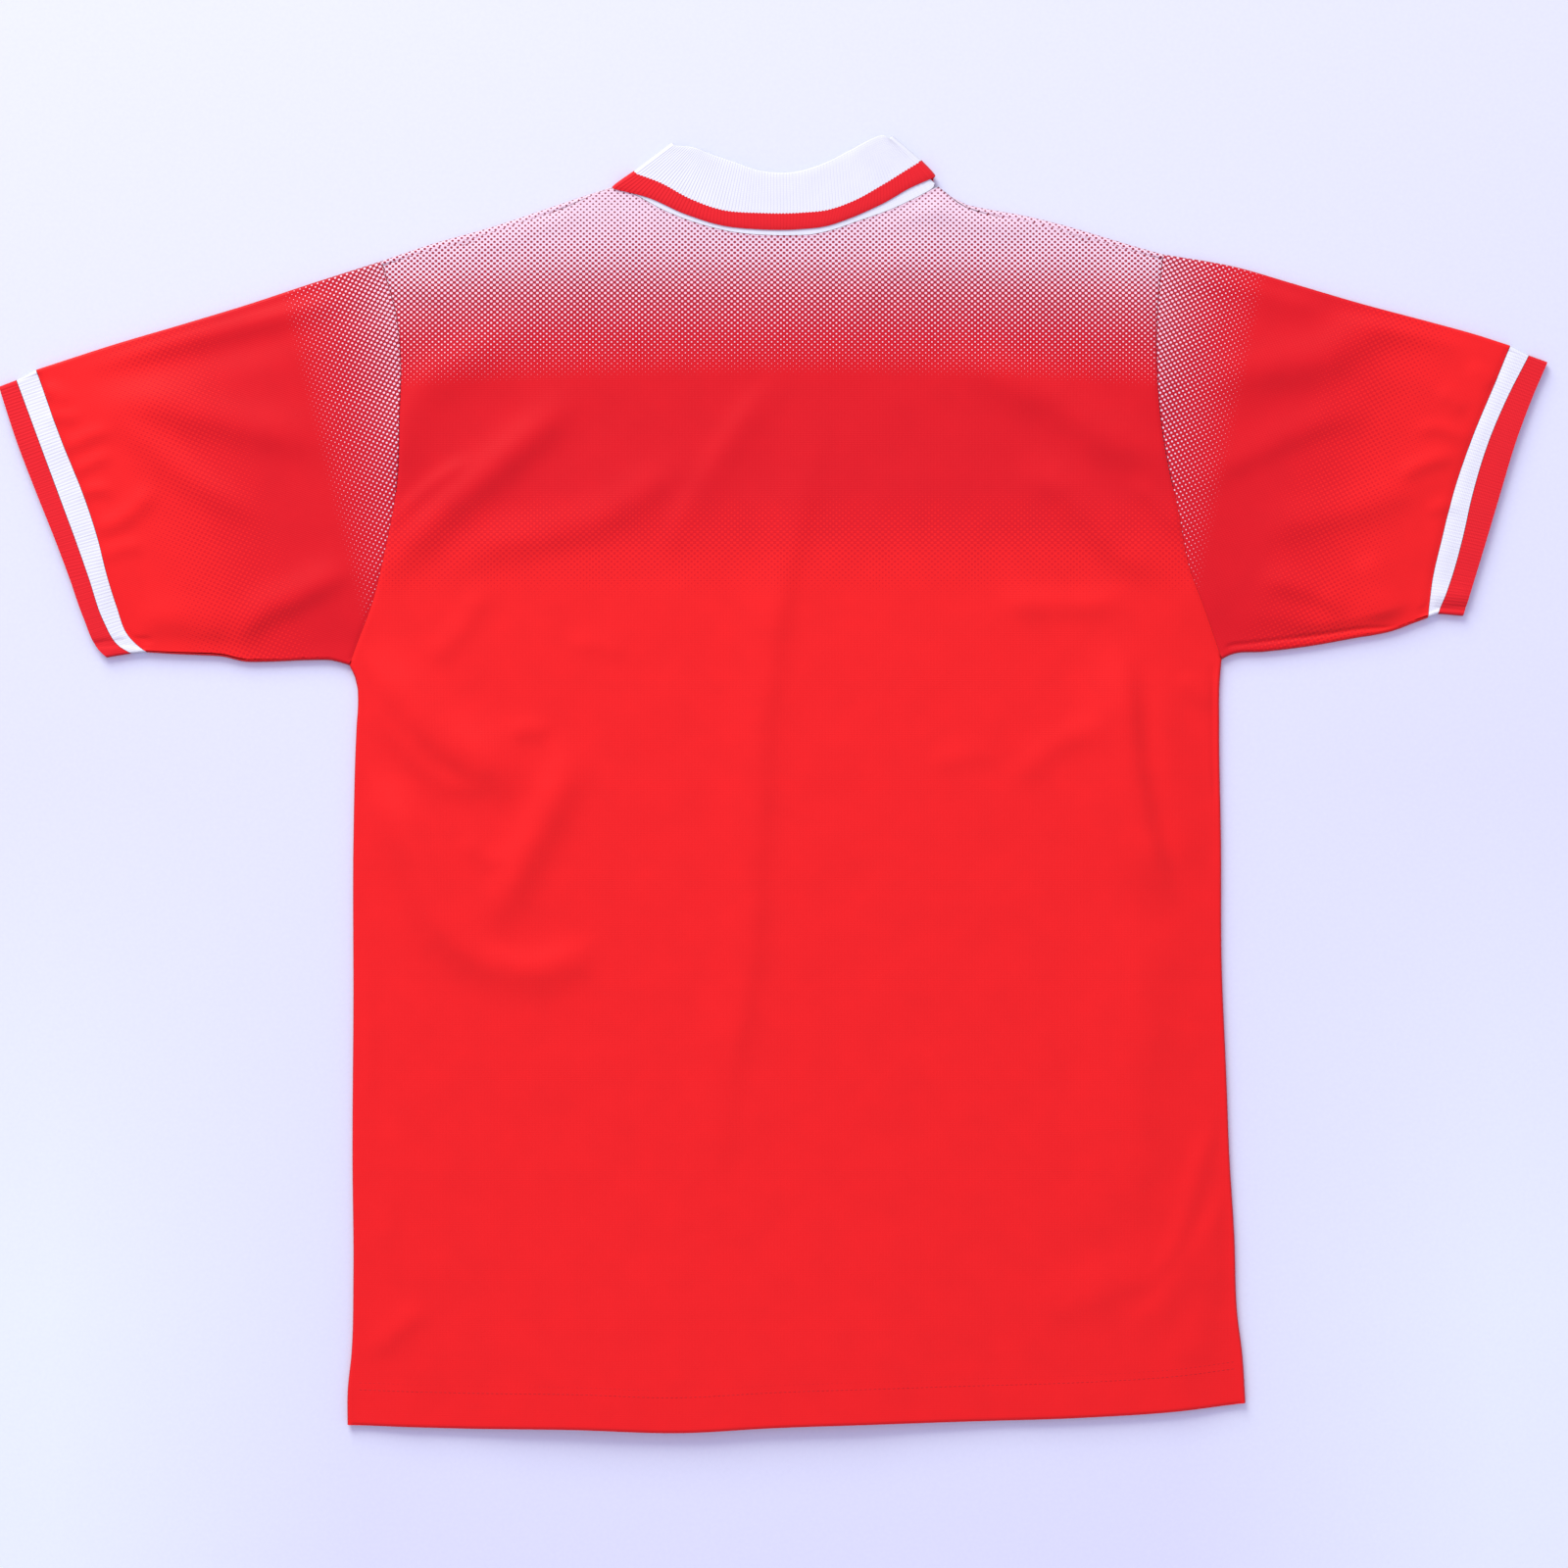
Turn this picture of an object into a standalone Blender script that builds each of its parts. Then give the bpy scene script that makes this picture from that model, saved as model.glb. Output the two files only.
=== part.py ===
"""Football jersey laid flat with its back up, as the pieces that a maker cuts and sews.

Blender 4.5, metres, +Z up.  All sizes below are in millimetres, x from the jersey's centre line
and y up from its hem, and MM turns them into metres at the end.  The front panel lies on the
surface, the back panel lies on it, and the sleeves and cuffs are flattened tubes.  Every wall is
worked out from an outer surface and its normals, so it has the cloth's thickness all over.
"""
import math

import bmesh
import bpy
import numpy as np

MM = 0.001

# ------------------------------------------------------------------ driving sizes, millimetres
WALL = 1.0              # the jersey's polyester cloth
HEM_WALL = 1.6          # the hem, where the cloth is turned up
HEM_HEIGHT = 28.0       # how far the hem is turned up
RIB_WALL = 1.1          # the knitted cuffs
COLLAR_WALL = 1.0       # the flat-knit collar
FOLD_RADIUS = 2.0       # outer radius where the cloth turns round at a side, shoulder or sleeve
LOFT = 5.8              # top of the upper layer, well inside the edges
CUFF_LOFT = 4.5         # top of the upper layer at the cuffs, which lie flatter
LOFT_REACH = 45.0       # the upper layer rises to its loft over this distance from an edge
FOLD_REACH = 12.0       # a fold dies out over this distance from an edge
FOLD_FADE = 0.3         # the share of a fold's length over which it rises at each end
LOWEST_TOP = 3.4        # top of the upper layer in its deepest trough
SEAM_GAP = 0.3          # between two pieces at a seam
ARMHOLE_WIDTH = 500.0   # the panels' width between the armholes, about
NECK_LIFT = 1.3         # the front panel's neck edge rises this much to meet the collar stand
COLLAR_MIDDLE = 2.65    # height of the plane between the collar's back and front halves
COLLAR_INNER = 0.35     # from that plane to the stand's inner face
ROLL_SHARE = 0.25       # the share of the roll's lift that its stand and its leaf's edge keep
FRONT_TURN = 0.4        # the share of the front neckline over which the collar turns to lie along it

FOLD_EDGE = math.pi * FOLD_RADIUS / 2   # arc from a fold's outermost point to the flat
EDGE_HEIGHT = 2 * FOLD_RADIUS           # both layers together at an edge

# ------------------------------------------------------------------ outlines: columns x, y
SIDE_LEFT = ((-278.1, 2.5), (-278.1, 23), (-275.6, 48), (-274.4, 98), (-275, 173), (-274.4, 273),
             (-274.4, 373), (-272.3, 448), (-272.4, 463), (-276.4, 477), (-276.9, 486.3))
SIDE_RIGHT = ((294.0, 16.5), (291.9, 48), (288.8, 73), (286.9, 123), (283.8, 173), (281.9, 223),
              (278.8, 298), (278.4, 373), (277.3, 448), (277.6, 476), (278.8, 490))
ARMHOLE_LEFT = ((-276.9, 486.3), (-271.3, 501.3), (-262.5, 524.4), (-253.1, 562.5), (-246.3, 601.3),
                (-244.4, 648.8), (-243.8, 677.5), (-246, 705), (-256.3, 743.8))
ARMHOLE_RIGHT = ((278.8, 490), (268.1, 520.6), (258.1, 547.5), (250.6, 585.6), (243.1, 620),
                 (238.1, 658.1), (236.9, 686.9), (237.5, 710), (241.3, 748.1))
HEM = ((-278.1, 2.5), (-206.3, 0.6), (-131.3, 0), (-68.8, -1.9), (-6.3, 1.3), (93.8, 4.4),
       (193.8, 7.5), (243.8, 10.6), (294.0, 16.5))
SHOULDER_LEFT = ((-256.3, 743.8), (-225, 754.4), (-187.5, 765), (-150, 777.5), (-131.3, 783.8),
                 (-107.5, 791.5))
SHOULDER_RIGHT = ((98.1, 791.3), (113.1, 780.8), (129.4, 776.9), (151.3, 773.1), (176.9, 766.9),
                  (202.5, 759.4), (227.5, 751.9), (241.3, 748.1))
NECKLINE_BACK = ((-107.5, 791.5), (-96, 786.3), (-76, 775.6), (-52, 766.6), (-30, 761.6), (-11, 760),
                 (5, 759.8), (17.5, 760.4), (29, 762.8), (49, 769.6), (66.6, 775.8), (84, 783.8),
                 (98.1, 791.3))
NECKLINE_FRONT = ((-107.5, 791.5), (-98, 768), (-85, 738), (-62, 704), (-32, 680), (-4, 672),
                  (24, 680), (54, 704), (77, 738), (89, 768), (98.1, 791.3))
SLEEVE_TOP_LEFT = ((-256.3, 743.8), (-303.1, 728.8), (-341.3, 716.2), (-383.1, 703.5),
                   (-426.9, 690.6), (-464, 678.6), (-476.3, 674.6))
SLEEVE_UNDER_LEFT = ((-276.9, 486.3), (-288, 489.2), (-303, 489.4), (-330, 488.4), (-344, 488.6),
                     (-357, 491.6), (-372, 492.6), (-386, 493.2), (-405.5, 494.4))
SLEEVE_TOP_RIGHT = ((241.3, 748.1), (287.5, 740), (324.4, 729.4), (366.9, 716.9), (413.8, 704.4),
                    (440, 697.2), (462.5, 690))
SLEEVE_UNDER_RIGHT = ((278.8, 490), (284.4, 492.8), (306, 494.8), (333.8, 498.2), (361, 503),
                      (388.8, 508.4), (402, 513.4), (410, 516.3))
CUFF_SEAM_LEFT = ((-405.5, 494.4), (-410.4, 497.8), (-417.9, 505.5), (-425, 523.8), (-430.6, 541.9),
                  (-436.9, 566.9), (-445, 591.9), (-460, 629.4), (-476.3, 674.6))
CUFF_STRIPE_LEFT = ((-415.5, 493.6), (-424.3, 499.2), (-433, 514), (-442.5, 541.9), (-451.3, 566.9),
                    (-460.6, 591.9), (-474.4, 629.4), (-488.8, 668.1))
CUFF_EDGE_LEFT = ((-431.5, 491.0), (-436.5, 496), (-446.2, 516.9), (-455, 541.9), (-464.4, 566.9),
                  (-474.4, 591.9), (-488.8, 629.4), (-500, 663.8))
CUFF_SEAM_RIGHT = ((410, 516.3), (413.1, 541.9), (418.8, 566.9), (425, 591.9), (437.5, 629.4),
                   (453.1, 666.9), (462.5, 690))
CUFF_STRIPE_RIGHT = ((416.3, 518.8), (425, 541.9), (431.9, 566.9), (437.5, 591.9), (448.8, 629.4),
                     (459.4, 654.4), (474.4, 683.8))
CUFF_EDGE_RIGHT = ((432.5, 517.5), (440, 541.9), (447.5, 566.9), (455, 591.9), (466.3, 629.4),
                   (475.6, 654.4), (486.3, 679.4))

# The shoulder seam lies on the back side of the shoulder fold, because the front panel wraps
# over it.  Columns: fraction of the shoulder from sleeve to neck, distance from the fold.
SHOULDER_SEAM = ((0, 3.0), (0.35, 6.5), (0.6, 5.0), (0.8, 3.0), (1, 2.2))

# ------------------------------------------------------------------ the largest folds
# Columns: height of the crest, half width on its steep side, half width on its gentle side, points
# of the crest.  The steep side is on the right hand of one who walks along the crest.
FOLDS = (
    # below the left armhole
    (3.6, 14, 20, ((-275, 500), (-255, 478), (-238, 458), (-222, 441), (-200, 428), (-178, 411),
                   (-160, 398))),
    (3.2, 13, 13, ((-190, 308), (-177, 340), (-164, 366), (-150, 392), (-142, 418), (-146, 446))),
    (3.6, 15, 14, ((-262, 424), (-245, 388), (-234, 360), (-223, 334), (-207, 312), (-190, 300))),
    (2.4, 13, 12, ((-225, 330), (-207, 309), (-188, 297), (-162, 293), (-136, 299), (-112, 312))),
    # from the left armhole
    (1.9, 16, 12, ((-248, 580), (-245, 615), (-239, 645), (-224, 668), (-198, 684), (-160, 704))),
    (2.9, 12, 13, ((-262, 528), (-238, 560), (-218, 582), (-195, 602), (-172, 622), (-150, 641),
                   (-122, 662))),
    (1.9, 11, 15, ((-226, 545), (-190, 560), (-150, 569), (-120, 577), (-97, 590), (-76, 606),
                   (-45, 620))),
    # down the middle
    (1.8, 9, 18, ((-52, 110), (-44, 170), (-35, 225), (-25, 280), (-20, 340), (-17, 400),
                  (-14, 450), (-8, 500), (0, 545), (10, 580), (18, 622), (26, 680))),
    # from the right armhole
    (2.6, 14, 15, ((98, 690), (130, 674), (155, 661), (175, 652), (195, 637), (214, 625),
                   (234, 618), (256, 612))),
    (2.0, 15, 10, ((206, 752), (222, 716), (232, 690), (239, 662), (246, 630))),
    (2.2, 11, 15, ((142, 609), (174, 600), (190, 585), (202, 571), (216, 557), (232, 550),
                   (256, 545))),
    # down the right side
    (4.0, 9, 24, ((244, 318), (236, 352), (226, 392), (220, 428), (217, 462), (214, 490),
                  (211, 512))),
    (2.4, 16, 28, ((230, 96), (222, 150), (223, 200), (227, 250), (226, 300), (224, 350))),
    # left sleeve
    (1.8, 11, 7, ((-470, 673), (-430, 685), (-390, 694), (-350, 703), (-320, 710), (-292, 717),
                  (-256, 732))),
    (2.2, 11, 15, ((-446, 662), (-415, 653), (-390, 648), (-365, 643), (-340, 637), (-315, 631),
                   (-286, 622))),
    (1.7, 10, 10, ((-446, 648), (-422, 640), (-405, 628), (-388, 613), (-370, 600), (-352, 589),
                   (-322, 574))),
    (2.4, 8, 13, ((-356, 496), (-342, 511), (-328, 521), (-312, 528), (-294, 538), (-268, 550))),
    # right sleeve
    (2.7, 13, 16, ((248, 658), (276, 669), (304, 674), (326, 677), (346, 683), (361, 692),
                   (378, 701), (404, 702), (430, 696), (456, 686))),
    (1.6, 8, 13, ((262, 590), (280, 611), (300, 621), (322, 632), (344, 641), (378, 650))),
    (1.8, 11, 15, ((288, 566), (318, 574), (342, 580), (362, 585), (382, 592), (402, 600),
                   (426, 602))),
    (1.7, 8, 11, ((298, 541), (322, 536), (342, 530), (362, 517))),
)

# ------------------------------------------------------------------ the collar
# Columns: fraction of the back neckline from the left neck point to the right one, then x, y of
# the leaf's edge, of the stripe's inner line and of the roll, and how far the roll stands up.
COLLAR_BACK = (
    (0.00, -104.0, 794.5, -92.5, 802.2, -69.5, 817.0, 1.0),
    (0.09, -87.5, 784.6, -79.4, 793.0, -58.0, 816.0, 1.6),
    (0.22, -62.5, 773.1, -58.4, 782.3, -46.0, 811.5, 1.5),
    (0.34, -37.5, 765.6, -37.0, 775.3, -30.0, 806.0, 1.3),
    (0.44, -15.0, 763.5, -15.0, 773.8, -14.0, 800.8, 1.2),
    (0.56, 10.0, 763.6, 11.0, 774.0, 10.0, 800.8, 1.2),
    (0.63, 26.0, 765.4, 28.0, 775.8, 26.0, 806.0, 1.3),
    (0.70, 41.0, 770.2, 44.0, 781.4, 41.0, 813.5, 1.6),
    (0.79, 62.0, 779.5, 62.0, 791.3, 54.0, 820.5, 1.8),
    (0.89, 79.0, 789.6, 77.0, 800.0, 62.0, 823.5, 1.7),
    (1.00, 92.5, 798.5, 85.0, 806.5, 67.0, 821.5, 1.0),
)
# The hidden front half.  Columns: fraction from the neck point to the centre front, then the
# distance from the neckline seam of the leaf's edge, the stripe's inner line and the roll.
COLLAR_FRONT = ((0.0, 3, 14, 46), (0.3, 3, 14, 42), (1.0, 3, 14, 40))
COLLAR_END_GAP = 0.6        # each end of the collar stands back this much from the centre front
COLLAR_FOLD_SHIFT = 2.4     # the folded side of the collar starts this far above the neck point

# ------------------------------------------------------------------ mesh resolution
SIDE_ROWS = (0, 0.05, 0.13, 0.21, 0.29, 0.37, 0.45, 0.53, 0.59, 0.64, 0.69, 0.73, 0.77, 0.81,
             0.85, 0.89, 0.93, 0.97, 1)
SIDE_ROWS_FRONT = SIDE_ROWS[0:2] + SIDE_ROWS[2::2]
ARMHOLE_ROWS = tuple(k / 13 for k in range(1, 13))
ARMHOLE_ROWS_UNDER = ARMHOLE_ROWS[1::2]
SHOULDER_COLUMNS = 7
NECK_COLUMNS = 12
NECK_COLUMNS_FRONT = 8
RIM = (0, 0.1, 0.2, 0.3, 1)     # the side columns, from the rim to the panel's inside
TOP_RIM = (0.5, 0)              # the top rows, from the panel's inside to the rim
WRAP_ROWS = 6                   # the front panel's rows round the shoulder fold
FOLD_ANGLES = (-90, -45, 0, 45, 90)
ROLL_ANGLES = (-60, -20, 20, 60)
STAND_PLACES = (0, 0.5, 1)      # the collar's places from seam to roll, roll to stripe, stripe to edge
LEAF_PLACES = (0, 0.4, 1)
STRIPE_PLACES = (0, 0.5, 1)
SLEEVE_RINGS = 12
SPAN_STEPS = 12                 # an outline's steps from one of its points to the next
LINE_POINTS = 30                # the points in which an outline or a crest is measured to
SHARP_ANGLE = 40
U_RIM = 0.0192         # the rim columns' share of the width on each side: about 10 mm
V_ARMPIT = 0.65         # the armpit's place between hem and shoulder in the panels' own rows
U_NECK = (0.30, 0.71)   # the neck points' places between left and right


def path(points):
    """A smooth curve through the points, as a function of the fraction of its length."""
    knots = np.array(points, dtype=float)
    chord = np.diff(knots, axis=0)
    length = np.linalg.norm(chord, axis=1)[:, None]
    slope = chord / length
    inner = (slope[:-1] * length[1:] + slope[1:] * length[:-1]) / (length[1:] + length[:-1])
    tangent = np.vstack([slope[:1], inner, slope[-1:]])
    curve = []
    for k in range(len(chord)):
        for t in np.linspace(0, 1, SPAN_STEPS, endpoint=False):
            curve.append((2 * t**3 - 3 * t**2 + 1) * knots[k]
                         + (t**3 - 2 * t**2 + t) * length[k] * tangent[k]
                         + (3 * t**2 - 2 * t**3) * knots[k + 1]
                         + (t**3 - t**2) * length[k] * tangent[k + 1])
    curve = np.array(curve + [knots[-1]])
    along = np.concatenate([[0], np.cumsum(np.linalg.norm(np.diff(curve, axis=0), axis=1))])
    along = along / along[-1]

    def at(fraction):
        return np.array([np.interp(fraction, along, curve[:, 0]),
                         np.interp(fraction, along, curve[:, 1])])
    return at


def polyline(curve):
    return np.array([curve(f) for f in np.linspace(0, 1, LINE_POINTS)])


def smooth(t):
    t = np.clip(t, 0, 1)
    return t * t * (3 - 2 * t)


def unit(vector):
    return vector / np.linalg.norm(vector)


def distance_to(x, y, line):
    """Distance to a polyline, negative on its right hand, and the fraction of its length there."""
    ends = np.concatenate([[0], np.cumsum(np.linalg.norm(np.diff(line, axis=0), axis=1))])
    nearest = np.full(np.shape(x), np.inf)
    fraction = np.zeros(np.shape(x))
    for k in range(len(line) - 1):
        start, step = line[k], line[k + 1] - line[k]
        t = ((x - start[0]) * step[0] + (y - start[1]) * step[1]) / step.dot(step)
        t = np.clip(t, 0, 1)
        distance = np.hypot(x - start[0] - t * step[0], y - start[1] - t * step[1])
        hand = np.where(step[0] * (y - start[1]) < step[1] * (x - start[0]), -1, 1)
        closer = distance < np.abs(nearest)
        nearest = np.where(closer, distance * hand, nearest)
        fraction = np.where(closer, (ends[k] + t * (ends[k + 1] - ends[k])) / ends[-1], fraction)
    return nearest, fraction


# ------------------------------------------------------------------ the upper layer's height
side = {"left": path(SIDE_LEFT), "right": path(SIDE_RIGHT)}
armhole = {"left": path(ARMHOLE_LEFT), "right": path(ARMHOLE_RIGHT)}
shoulder = {"left": path(SHOULDER_LEFT), "right": path(SHOULDER_RIGHT)}
sleeve_top = {"left": path(SLEEVE_TOP_LEFT), "right": path(SLEEVE_TOP_RIGHT)}
sleeve_under = {"left": path(SLEEVE_UNDER_LEFT), "right": path(SLEEVE_UNDER_RIGHT)}
cuff_seam = {"left": path(CUFF_SEAM_LEFT), "right": path(CUFF_SEAM_RIGHT)}
cuff_stripe = {"left": path(CUFF_STRIPE_LEFT), "right": path(CUFF_STRIPE_RIGHT)}
cuff_edge = {"left": path(CUFF_EDGE_LEFT), "right": path(CUFF_EDGE_RIGHT)}
hem = path(HEM)
neckline_back = path(NECKLINE_BACK)
neckline_front = path(NECKLINE_FRONT)

EDGE_LINES = [polyline(hem), polyline(neckline_back)]
CUFF_LINES = []
for hand in ("left", "right"):
    for curves in (side, shoulder, sleeve_top, sleeve_under):
        EDGE_LINES.append(polyline(curves[hand]))
    for end in (0, 1):
        EDGE_LINES.append(np.array([cuff_seam[hand](end), cuff_stripe[hand](end),
                                    cuff_edge[hand](end)]))
    for curves in (cuff_seam, cuff_stripe, cuff_edge):
        CUFF_LINES.append(polyline(curves[hand]))
FOLD_LINES = [(height, steep, gentle, polyline(path(points))) for height, steep, gentle, points in FOLDS]


def nearest_of(x, y, lines):
    return np.min([np.abs(distance_to(x, y, line)[0]) for line in lines], axis=0)


def top_height(x, y):
    """Height of the upper layer's outer face over a point of the surface it lies on."""
    cuff = nearest_of(x, y, CUFF_LINES)
    loft = CUFF_LOFT + (LOFT - CUFF_LOFT) * smooth(cuff / LOFT_REACH)
    inside = nearest_of(x, y, EDGE_LINES) - FOLD_RADIUS
    height = EDGE_HEIGHT + (loft - EDGE_HEIGHT) * smooth(inside / LOFT_REACH)
    folds = np.zeros(np.shape(x))
    for crest, steep, gentle, line in FOLD_LINES:
        distance, along = distance_to(x, y, line)
        fade = smooth(along / FOLD_FADE) * smooth((1 - along) / FOLD_FADE)
        width = np.where(distance < 0, steep, gentle)
        folds = folds + crest * fade * np.exp(-(distance / width) ** 2)
    height = height + folds * smooth(inside / FOLD_REACH)
    return np.maximum(height, LOWEST_TOP)


def on_top(plan):
    """A point of the upper layer's outer face and its normal."""
    x, y = plan
    step = 1.0
    height = top_height(np.array([x, x + step, x - step, x, x]),
                        np.array([y, y, y, y + step, y - step]))
    slope_x = (height[1] - height[2]) / (2 * step)
    slope_y = (height[3] - height[4]) / (2 * step)
    return np.array([x, y, height[0]]), unit(np.array([-slope_x, -slope_y, 1.0]))


def round_fold(outline, inward, arc):
    """A point on a folded edge, by its arc from the outermost point: over the top is positive."""
    if arc > FOLD_EDGE:
        return on_top(outline + inward * (FOLD_RADIUS + arc - FOLD_EDGE))
    if arc < -FOLD_EDGE:
        plan = outline + inward * (FOLD_RADIUS - arc - FOLD_EDGE)
        return np.array([plan[0], plan[1], 0.0]), np.array([0, 0, -1.0])
    angle = arc / FOLD_RADIUS
    plan = outline + inward * FOLD_RADIUS * (1 - math.cos(angle))
    height = FOLD_RADIUS * (1 + math.sin(angle))
    normal = np.array([-inward[0] * math.cos(angle), -inward[1] * math.cos(angle), math.sin(angle)])
    return np.array([plan[0], plan[1], height]), normal


def seam_arc(distance):
    """The arc from a fold's outermost point of a seam at this distance from the outline."""
    if distance >= FOLD_RADIUS:
        return FOLD_EDGE + distance - FOLD_RADIUS
    return FOLD_RADIUS * math.acos(1 - distance / FOLD_RADIUS)


# ------------------------------------------------------------------ meshes
MATERIALS = {}


def material(name, colour, roughness):
    if name not in MATERIALS:
        made = bpy.data.materials.new(name)
        made.use_nodes = True
        shader = made.node_tree.nodes["Principled BSDF"]
        shader.inputs["Base Color"].default_value = (*colour, 1.0)
        shader.inputs["Roughness"].default_value = roughness
        shader.inputs["Metallic"].default_value = 0.0
        MATERIALS[name] = made
    return MATERIALS[name]


def cloth(name, outer, inner, closed, look, left_out=()):
    """A wall between two grids of points, without the cells that are left out.

    A closed one joins its last column to its first: a tube, open at its two ends.
    """
    rows, columns = outer.shape[:2]
    cells = []
    for i in range(rows - 1):
        for j in range(columns if closed else columns - 1):
            k = (j + 1) % columns
            if (i, j) not in left_out:
                cells.append(((i, j), (i, k), (i + 1, k), (i + 1, j)))
    sides = [(cell[n], cell[(n + 1) % 4]) for cell in cells for n in range(4)]
    shared = set(sides)
    rims = [(start, end) for start, end in sides if (end, start) not in shared]
    mesh = bmesh.new()
    used = sorted({corner for cell in cells for corner in cell})
    first = {corner: mesh.verts.new(outer[corner] * MM) for corner in used}
    second = {corner: mesh.verts.new(inner[corner] * MM) for corner in used}
    for cell in cells:
        mesh.faces.new([first[corner] for corner in cell])
        mesh.faces.new([second[corner] for corner in cell])
    for start, end in rims:
        mesh.faces.new((first[start], first[end], second[end], second[start]))
    bmesh.ops.recalc_face_normals(mesh, faces=mesh.faces)
    data = bpy.data.meshes.new(name)
    mesh.to_mesh(data)
    mesh.free()
    data.shade_smooth()
    data.set_sharp_from_angle(angle=math.radians(SHARP_ANGLE))
    data.materials.append(look)
    made = bpy.data.objects.new(name, data)
    bpy.context.collection.objects.link(made)
    return made


# ------------------------------------------------------------------ front and back panels
def panel_point(u, v, top):
    """A plan point of a panel: a patch between its sides, its hem and its top edge."""
    def boundary(hand):
        if v <= V_ARMPIT:
            return side[hand](v / V_ARMPIT)
        return armhole[hand]((v - V_ARMPIT) / (1 - V_ARMPIT))
    left, right = boundary("left"), boundary("right")
    corners = ((1 - u) * (1 - v) * hem(0) + u * (1 - v) * hem(1)
               + (1 - u) * v * armhole["left"](1) + u * v * armhole["right"](1))
    return (1 - u) * left + u * right + (1 - v) * hem(u) + v * top(u) - corners


def top_edge(neckline):
    """The panel's top edge from sleeve to sleeve: shoulder, neckline, shoulder."""
    def at(u):
        if u < U_NECK[0]:
            return shoulder["left"](u / U_NECK[0])
        if u > U_NECK[1]:
            return shoulder["right"]((u - U_NECK[1]) / (1 - U_NECK[1]))
        return neckline((u - U_NECK[0]) / (U_NECK[1] - U_NECK[0]))
    return at


def columns_of(neck_columns):
    left = np.linspace(U_RIM, U_NECK[0], SHOULDER_COLUMNS, endpoint=False)[1:]
    neck = np.linspace(U_NECK[0], U_NECK[1], neck_columns + 1)
    right = np.linspace(U_NECK[1], 1 - U_RIM, SHOULDER_COLUMNS)[1:-1]
    rim = [U_RIM * share for share in RIM]
    return rim + list(left) + list(neck) + list(right) + [1 - u for u in reversed(rim)]


def panel(name, is_back, neckline, side_rows, armhole_rows, neck_columns, look):
    """The back or the front panel, from its hem to its top edge."""
    up = 1 if is_back else -1
    top = top_edge(neckline)
    us = columns_of(neck_columns)
    half_gap = SEAM_GAP / 2
    last_v = V_ARMPIT + (1 - V_ARMPIT) * armhole_rows[-1]
    vs = [V_ARMPIT * f for f in side_rows]
    vs += [V_ARMPIT + (1 - V_ARMPIT) * f for f in armhole_rows]

    def lying(plan, lift=0.0):
        if is_back:
            return on_top(plan)
        return np.array([plan[0], plan[1], lift]), np.array([0, 0, -1.0])

    def flat_rim(u):
        """The column's place on an armhole edge, clear of the sleeve by half a gap."""
        gap = half_gap / ARMHOLE_WIDTH
        return min(max(u, gap), 1 - gap)

    points, normals = [], []
    for v in vs:
        row = []
        for j, u in enumerate(us):
            rim_index = min(j, len(us) - 1 - j)
            if v > V_ARMPIT or rim_index >= len(RIM) - 1:
                row.append(lying(panel_point(flat_rim(u), v, top)))
                continue
            hand, rim_u = ("left", 0.0) if u < 0.5 else ("right", 1.0)
            outline = panel_point(rim_u, v, top)
            inner = panel_point(U_RIM if hand == "left" else 1 - U_RIM, v, top)
            depth = np.linalg.norm(inner - outline)
            rim_arc = up * half_gap
            end_arc = up * (FOLD_EDGE + depth - FOLD_RADIUS)
            arc = rim_arc + (end_arc - rim_arc) * RIM[rim_index]
            row.append(round_fold(outline, unit(inner - outline), arc))
        points.append([p for p, n in row])
        normals.append([n for p, n in row])

    def in_neck(u):
        return U_NECK[0] < u < U_NECK[1]

    def at_shoulder(u, start_arc, share):
        """A point near the shoulder fold: share 0 is at the start, 1 at the last inner row."""
        outline, inner = top(u), panel_point(u, last_v, top)
        end_arc = up * (FOLD_EDGE + np.linalg.norm(inner - outline) - FOLD_RADIUS)
        return round_fold(outline, unit(inner - outline), start_arc + (end_arc - start_arc) * share)

    def shoulder_seam(u):
        along = u / U_NECK[0] if u < 0.5 else (1 - u) / (1 - U_NECK[1])
        return seam_arc(np.interp(along, *zip(*SHOULDER_SEAM)))

    for share in TOP_RIM:
        row = []
        for u in map(flat_rim, us):
            if in_neck(u):
                outline, inner = top(u), panel_point(u, last_v, top)
                depth = np.linalg.norm(inner - outline)
                plan = outline + unit(inner - outline) * (half_gap + (depth - half_gap) * share)
                row.append(lying(plan, NECK_LIFT * (1 - 2 * share)))
            else:
                start_arc = shoulder_seam(u) + half_gap if is_back else -FOLD_EDGE
                row.append(at_shoulder(u, start_arc, share))
        points.append([p for p, n in row])
        normals.append([n for p, n in row])

    left_out = set()
    if not is_back:
        wrap_starts = len(points) - 1
        for step in range(1, WRAP_ROWS + 1):
            row = []
            for j, u in enumerate(map(flat_rim, us)):
                if in_neck(u):
                    row.append((points[wrap_starts][j], normals[wrap_starts][j]))
                    continue
                reach = shoulder_seam(u) - half_gap + FOLD_EDGE
                row.append(at_shoulder(u, -FOLD_EDGE + reach * step / WRAP_ROWS, 0))
            points.append([p for p, n in row])
            normals.append([n for p, n in row])
        neck = [j for j, u in enumerate(us) if U_NECK[0] <= u < U_NECK[1]]
        left_out = {(i, j) for i in range(wrap_starts, len(points) - 1) for j in neck}

    outer, normal = np.array(points), np.array(normals)
    above_hem = outer[:, :, 1] - np.interp(outer[:, :, 0], *polyline(hem).T)
    wall = np.where(above_hem < HEM_HEIGHT, HEM_WALL, WALL)[:, :, None]
    return cloth(name, outer, outer - normal * wall, False, look, left_out)


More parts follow.
